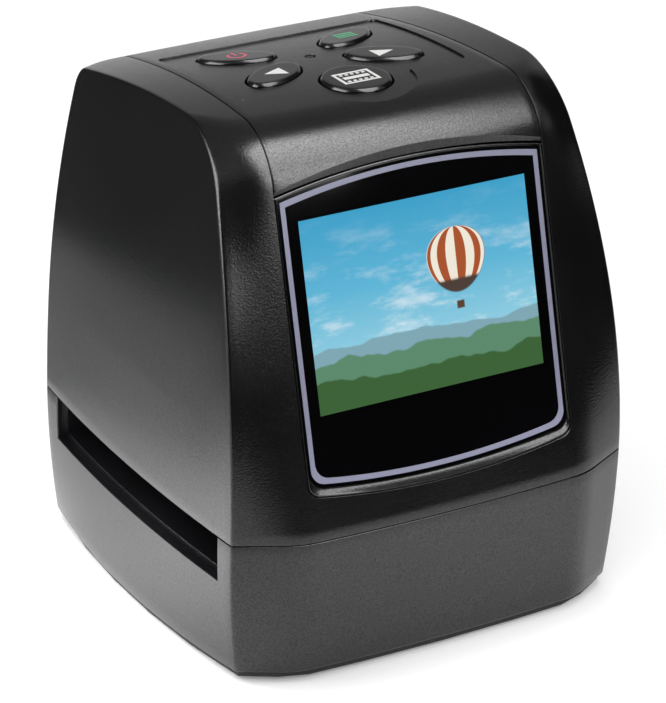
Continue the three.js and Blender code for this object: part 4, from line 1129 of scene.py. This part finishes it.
def keyCap(name, key):
    under = -wall - gap
    foot = under - keyForm["flangeThick"]
    low = nodeBox(name + "_plunger")[1].z + gap
    high = archHeight(key["y"]) + foot - keyForm["stemSink"]
    rings = [circle(key["x"], key["y"], z, keyForm["stemRadius"]) for z in (low, high)]
    rings += [keyRing(key, grow, lift) for grow, lift in (
        (keyForm["flange"], foot), (keyForm["flange"], under), (0, under)) + keyForm["bevel"]]
    rings += [keyRing(key, grow, keyForm["proud"]) for grow in keyForm["flat"]]
    return ringSolid(rings)


for name, key in keys.items():
    makePiece(name + "_cap", keyCap(name, key), [glossAbs],
              body=name + "_button", stands=[name + "_key"])


# marks printed on the keys, each a thin layer of ink

mark = {
    "thick": 0.035, "sink": 0.01,
    "powerRadius": 1.7, "powerWidth": 0.5, "powerGap": 76, "powerBar": (0.1, 2.4),
    "powerSteps": 40,
    "arrowLong": 4.2, "arrowWide": 4.0,
    "barLong": 4.4, "barWide": 0.55, "barPitch": 1.2,
    "filmHalf": (3.9, 2.8), "filmLine": 0.6, "filmMiddle": (2.75, 0.6),
    "holeHalf": (0.35, 0.3), "holePitch": 1.2, "holeInset": 1.15,
}


def inkLayer(name, outlines, material):
    points, faces = [], []
    for outline in outlines:
        layer = [[onKey(keys[name], a, b, keyForm["proud"] + lift) for a, b in outline]
                 for lift in (-mark["sink"], mark["thick"])]
        solidPoints, solidFaces = ringSolid(layer)
        faces += [tuple(i + len(points) for i in face) for face in solidFaces]
        points += solidPoints
    makePiece(name + "_mark", (points, faces), [material],
              body=name + "_button")


def bar(half, x=0, y=0):
    return [(x - half[0], y - half[1]), (x + half[0], y - half[1]),
            (x + half[0], y + half[1]), (x - half[0], y + half[1])]


def powerMark():
    radius, half, opening = mark["powerRadius"], mark["powerWidth"] / 2, mark["powerGap"] / 2
    turns = [radians(a) for a in spread(90 + opening, 450 - opening, mark["powerSteps"])]
    outer = [((radius + half) * cos(a), (radius + half) * sin(a)) for a in turns]
    inner = [((radius - half) * cos(a), (radius - half) * sin(a)) for a in turns]
    low, high = mark["powerBar"]
    return [outer + inner[::-1], bar((half, (high - low) / 2), 0, (low + high) / 2)]


def arrowMark(sign):  # triangle that points to the right where sign is 1
    tip, half = sign * mark["arrowLong"] / 2, mark["arrowWide"] / 2
    return [[(tip, 0), (-tip, half), (-tip, -half)]]


def barsMark():
    return [bar((mark["barLong"] / 2, mark["barWide"] / 2), 0, i * mark["barPitch"])
            for i in (-1, 0, 1)]


def filmMark():  # a frame of film with its sprocket holes
    long, tall = mark["filmHalf"]
    line = mark["filmLine"] / 2
    sides = [bar((long, line), 0, sign * (tall - line)) for sign in (-1, 1)]
    sides += [bar((line, tall - 2 * line), sign * (long - line), 0) for sign in (-1, 1)]
    holes = [bar(mark["holeHalf"], i * mark["holePitch"], sign * (tall - mark["holeInset"]))
             for sign in (-1, 1) for i in range(-2, 3)]
    return sides + holes + [bar(mark["filmMiddle"])]


inkLayer("power", powerMark(), redInk)
inkLayer("left", arrowMark(-1), whiteInk)
inkLayer("menu", barsMark(), greenInk)
inkLayer("right", arrowMark(1), whiteInk)
inkLayer("scan", filmMark(), whiteInk)


# Status light: a smoked epoxy dome, dark while it is off
def statusLight():
    low = nodeBox("status_led")[0].z
    top = archHeight(led["y"]) - panel["depth"] - led["sunk"]
    shelf, neck = low + led["flangeThick"], low + led["height"]
    levels = [(low, led["flange"]), (shelf, led["flange"]), (shelf, led["body"]),
              (neck, led["body"]), (neck + led["cone"], led["radius"]), (top, led["radius"])]
    levels += [(top + led["dome"] * sin(a), led["radius"] * cos(a))
               for a in (radians(turn) for turn in led["domeTurns"])]
    return ringSolid([circle(0, led["y"], z, radius) for z, radius in levels])


makePiece("status_light", statusLight(), [glossAbs], stands=["status_led"])
print("keys done")


# CAD pieces that show as they are, with their real finishes

corners = ["front_left", "front_right", "rear_left", "rear_right"]
finishes = {
    matteAbs: ["bottom_plate", "film_gate", "optical_tunnel"],
    stampedSteel: ["screen_module", "usb_socket", "card_socket"],
    blackenedSteel: ["screw_" + corner for corner in corners],
    solderMask: ["main_board", "key_board", "sensor_board", "socket_board", "led_board"],
    opalAcrylic: ["diffuser"],
    whiteNylon: ["light_reflector", "key_ribbon", "sensor_ribbon", "socket_ribbon"]
    + [name + "_plunger" for name in keys],
    blackNylon: [name + "_switch" for name in keys],
    blackAnodised: ["lens_barrel"],
    redInk: ["light_lead"],
    nitrileRubber: ["foot_" + corner for corner in corners],
}
for material, names in finishes.items():
    for name in names:
        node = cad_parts[name]
        node.data.materials.clear()
        node.data.materials.append(material)


# the studio

studio = {
    "floor": "#f4f4f4", "floorHalf": 3000, "floorGlow": 0.18,
    "cameraAzimuth": -30.962, "cameraElevation": 25.765, "cameraRoll": 1.516,
    "cameraDistance": 763.241, "cameraTarget": (-0.188, 0, 44.233), "lens": 200.29, "sensor": 36,
    "worldStrength": 0.58, "worldLow": (0.02, 0.65), "worldHigh": (0.38, 0.28),
    "cardSteps": 12,
}


def showsBackground(tree):  # 1 for the camera, and in reflections and through clear pieces
    path = addNode(tree, "LightPath").outputs
    seen = addNode(tree, "Math", {0: path["Is Camera Ray"], 1: path["Is Glossy Ray"]},
                   {"operation": "MAXIMUM"})
    return addNode(tree, "Math", {0: seen, 1: path["Is Transmission Ray"]},
                   {"operation": "MAXIMUM"})


# Matt white paper sweep, with a faint glow that only the camera and gloss see
def paperSweep(tree, place, look):
    strength = addNode(tree, "Math", {0: showsBackground(tree), 1: studio["floorGlow"]},
                       {"operation": "MULTIPLY"})
    glow = addNode(tree, "Emission", {"Color": (1, 1, 1, 1), "Strength": strength})
    return addNode(tree, "AddShader", {
        0: addNode(tree, "BsdfDiffuse", {"Color": studio["floor"]}), 1: glow})


# Card round the object: dull paper of one colour
def plainPaper(tree, place, hexColour):
    return addNode(tree, "BsdfDiffuse", {"Color": hexColour})


half = studio["floorHalf"]
floor = newObject("floor", meshFrom("floor", [Vector((x, y, 0)) for x, y in (
    (-half, -half), (half, -half), (half, half), (-half, half))], [(0, 1, 2, 3)]))
floor.data.materials.append(newMaterial("paperSweep", paperSweep))

world = bpy.data.worlds.new("studio")
scene.world = world
world.use_nodes = True
tree = world.node_tree
tree.nodes.clear()
height = addNode(tree, "SeparateXYZ", {"Vector": addNode(tree, "TexCoord").outputs["Generated"]})
dusk = addNode(tree, "ValToRGB", {"Fac": height.outputs["Z"]}, stops=[
    (position, (grey, grey, grey, 1)) for position, grey in (
        studio["worldLow"], studio["worldHigh"])])
plain = addNode(tree, "Background", {"Color": (1, 1, 1, 1), "Strength": studio["worldStrength"]})
shown = addNode(tree, "Background", {"Color": dusk, "Strength": 1.0})
chosen = addNode(tree, "MixShader", {0: showsBackground(tree), 1: plain, 2: shown})
addNode(tree, "OutputWorld", {"Surface": chosen})


# Angles of lamps and cards go round from the front to the right, and up from the floor
def around(angle, rise, distance):
    angle, rise = radians(angle), radians(rise)
    return Vector((sin(angle) * cos(rise), -cos(angle) * cos(rise),
                   sin(rise))) * distance


# The light of a softbox changes evenly from its foot to its head
def softbox(name, place, size, power, aim=(0, 0, 50), fills=True, shines=True, ends=(1, 1)):
    lamp = bpy.data.lights.new(name, "AREA")
    lamp.shape = "RECTANGLE"
    lamp.size, lamp.size_y = size[0] * millimetre, size[1] * millimetre
    lamp.energy = power
    lamp.use_nodes = True
    tree = lamp.node_tree
    across = addNode(tree, "SeparateXYZ", {
        "Vector": addNode(tree, "NewGeometry").outputs["Parametric"]})
    graded = addNode(tree, "MapRange", {
        "Value": across.outputs["Y"], "To Min": ends[0], "To Max": ends[1]})
    tree.links.new(graded.outputs["Result"], tree.nodes["Emission"].inputs["Strength"])
    obj = newObject(name, lamp)
    obj.location = Vector(place) * millimetre
    obj.rotation_mode = "QUATERNION"
    obj.rotation_quaternion = (Vector(aim) - Vector(place)).to_track_quat("-Z", "Y")
    obj.visible_camera = False
    obj.visible_diffuse = fills
    obj.visible_glossy = shines


# A curved card stands round a glossy object, which shows its reflection. Nothing else sees it
def paperCard(name, paper, start, end, radius, low, high):
    turns = spread(start, end, studio["cardSteps"])
    count = len(turns)
    points = [around(a, 0, radius) + Vector((0, 0, z)) for z in (low, high) for a in turns]
    faces = [(i, i + 1, i + count + 1, i + count) for i in range(count - 1)]
    card = newObject(name, meshFrom(name, points, faces))
    card.data.materials.append(paper)
    card.visible_camera = card.visible_diffuse = card.visible_shadow = False


# Lamps that don't shine light the object and the paper. The others show only as highlights:
# on the hood, on the cover's lip, on the front left corner, and on the left side and the keys
softbox("overhead", (100, 200, 1300), (1200, 1000), 8.5, shines=False)
softbox("paperLight", (-105, 0, 45), (40, 120), 0.11, aim=(-100, 0, 0), shines=False)
softbox("frontPaperLight", (20, -85, 45), (100, 40), 0.022, aim=(20, -80, 0), shines=False)
softbox("hoodLight", (66, -194, 328), (282, 317), 2.14, aim=(-12, -1, 112), fills=False,
        ends=(0.6, 1.2))
softbox("lipLight", (99, -288, 168), (107, 115), 0.22, aim=(-25, -25, 104), fills=False)
softbox("cornerLight", (25, -318, 186), (54, 78), 0.075, aim=(-99, -55, 122), fills=False)
softbox("edgeLight", around(-85, 27, 900), (800, 500), 9, fills=False)

# Black cards keep the front and the right side dark. The grey and the pale show on the left
blackPaper = newMaterial("blackPaper", plainPaper, "#141414")
greyPaper = newMaterial("greyPaper", plainPaper, "#6a6a6a")
palePaper = newMaterial("palePaper", plainPaper, "#d4d4d4")
paperCard("cameraCard", blackPaper, -62, 52, 800, 0, 620)
paperCard("frontCard", blackPaper, -45, 80, 250, 0, 110)
paperCard("glassCard", blackPaper, 23, 50, 250, 110, 123)
paperCard("rightCard", blackPaper, 70, 115, 360, 0, 400)
paperCard("rearLeftCard", greyPaper, -175, -110, 170, 0, 400)
paperCard("sideCard", palePaper, -178, -110, 110, 0, 42)

back = around(studio["cameraAzimuth"], studio["cameraElevation"], 1)
roll = radians(studio["cameraRoll"])
right = (-back).cross(Vector((0, 0, 1))).normalized()
up = right.cross(-back)
rolledRight = cos(roll) * right + sin(roll) * up
rolledUp = cos(roll) * up - sin(roll) * right
cameraPlace = (Vector(studio["cameraTarget"]) + back * studio["cameraDistance"]) * millimetre
camera = newObject("camera", bpy.data.cameras.new("camera"))
camera.data.lens = studio["lens"]
camera.data.sensor_width = studio["sensor"]
camera.matrix_world = (Matrix.Translation(cameraPlace)
                       @ Matrix((rolledRight, rolledUp, back)).transposed().to_4x4())
scene.camera = camera
scene.view_settings.view_transform = "Standard"
print("studio done")

bpy.context.view_layer.update()
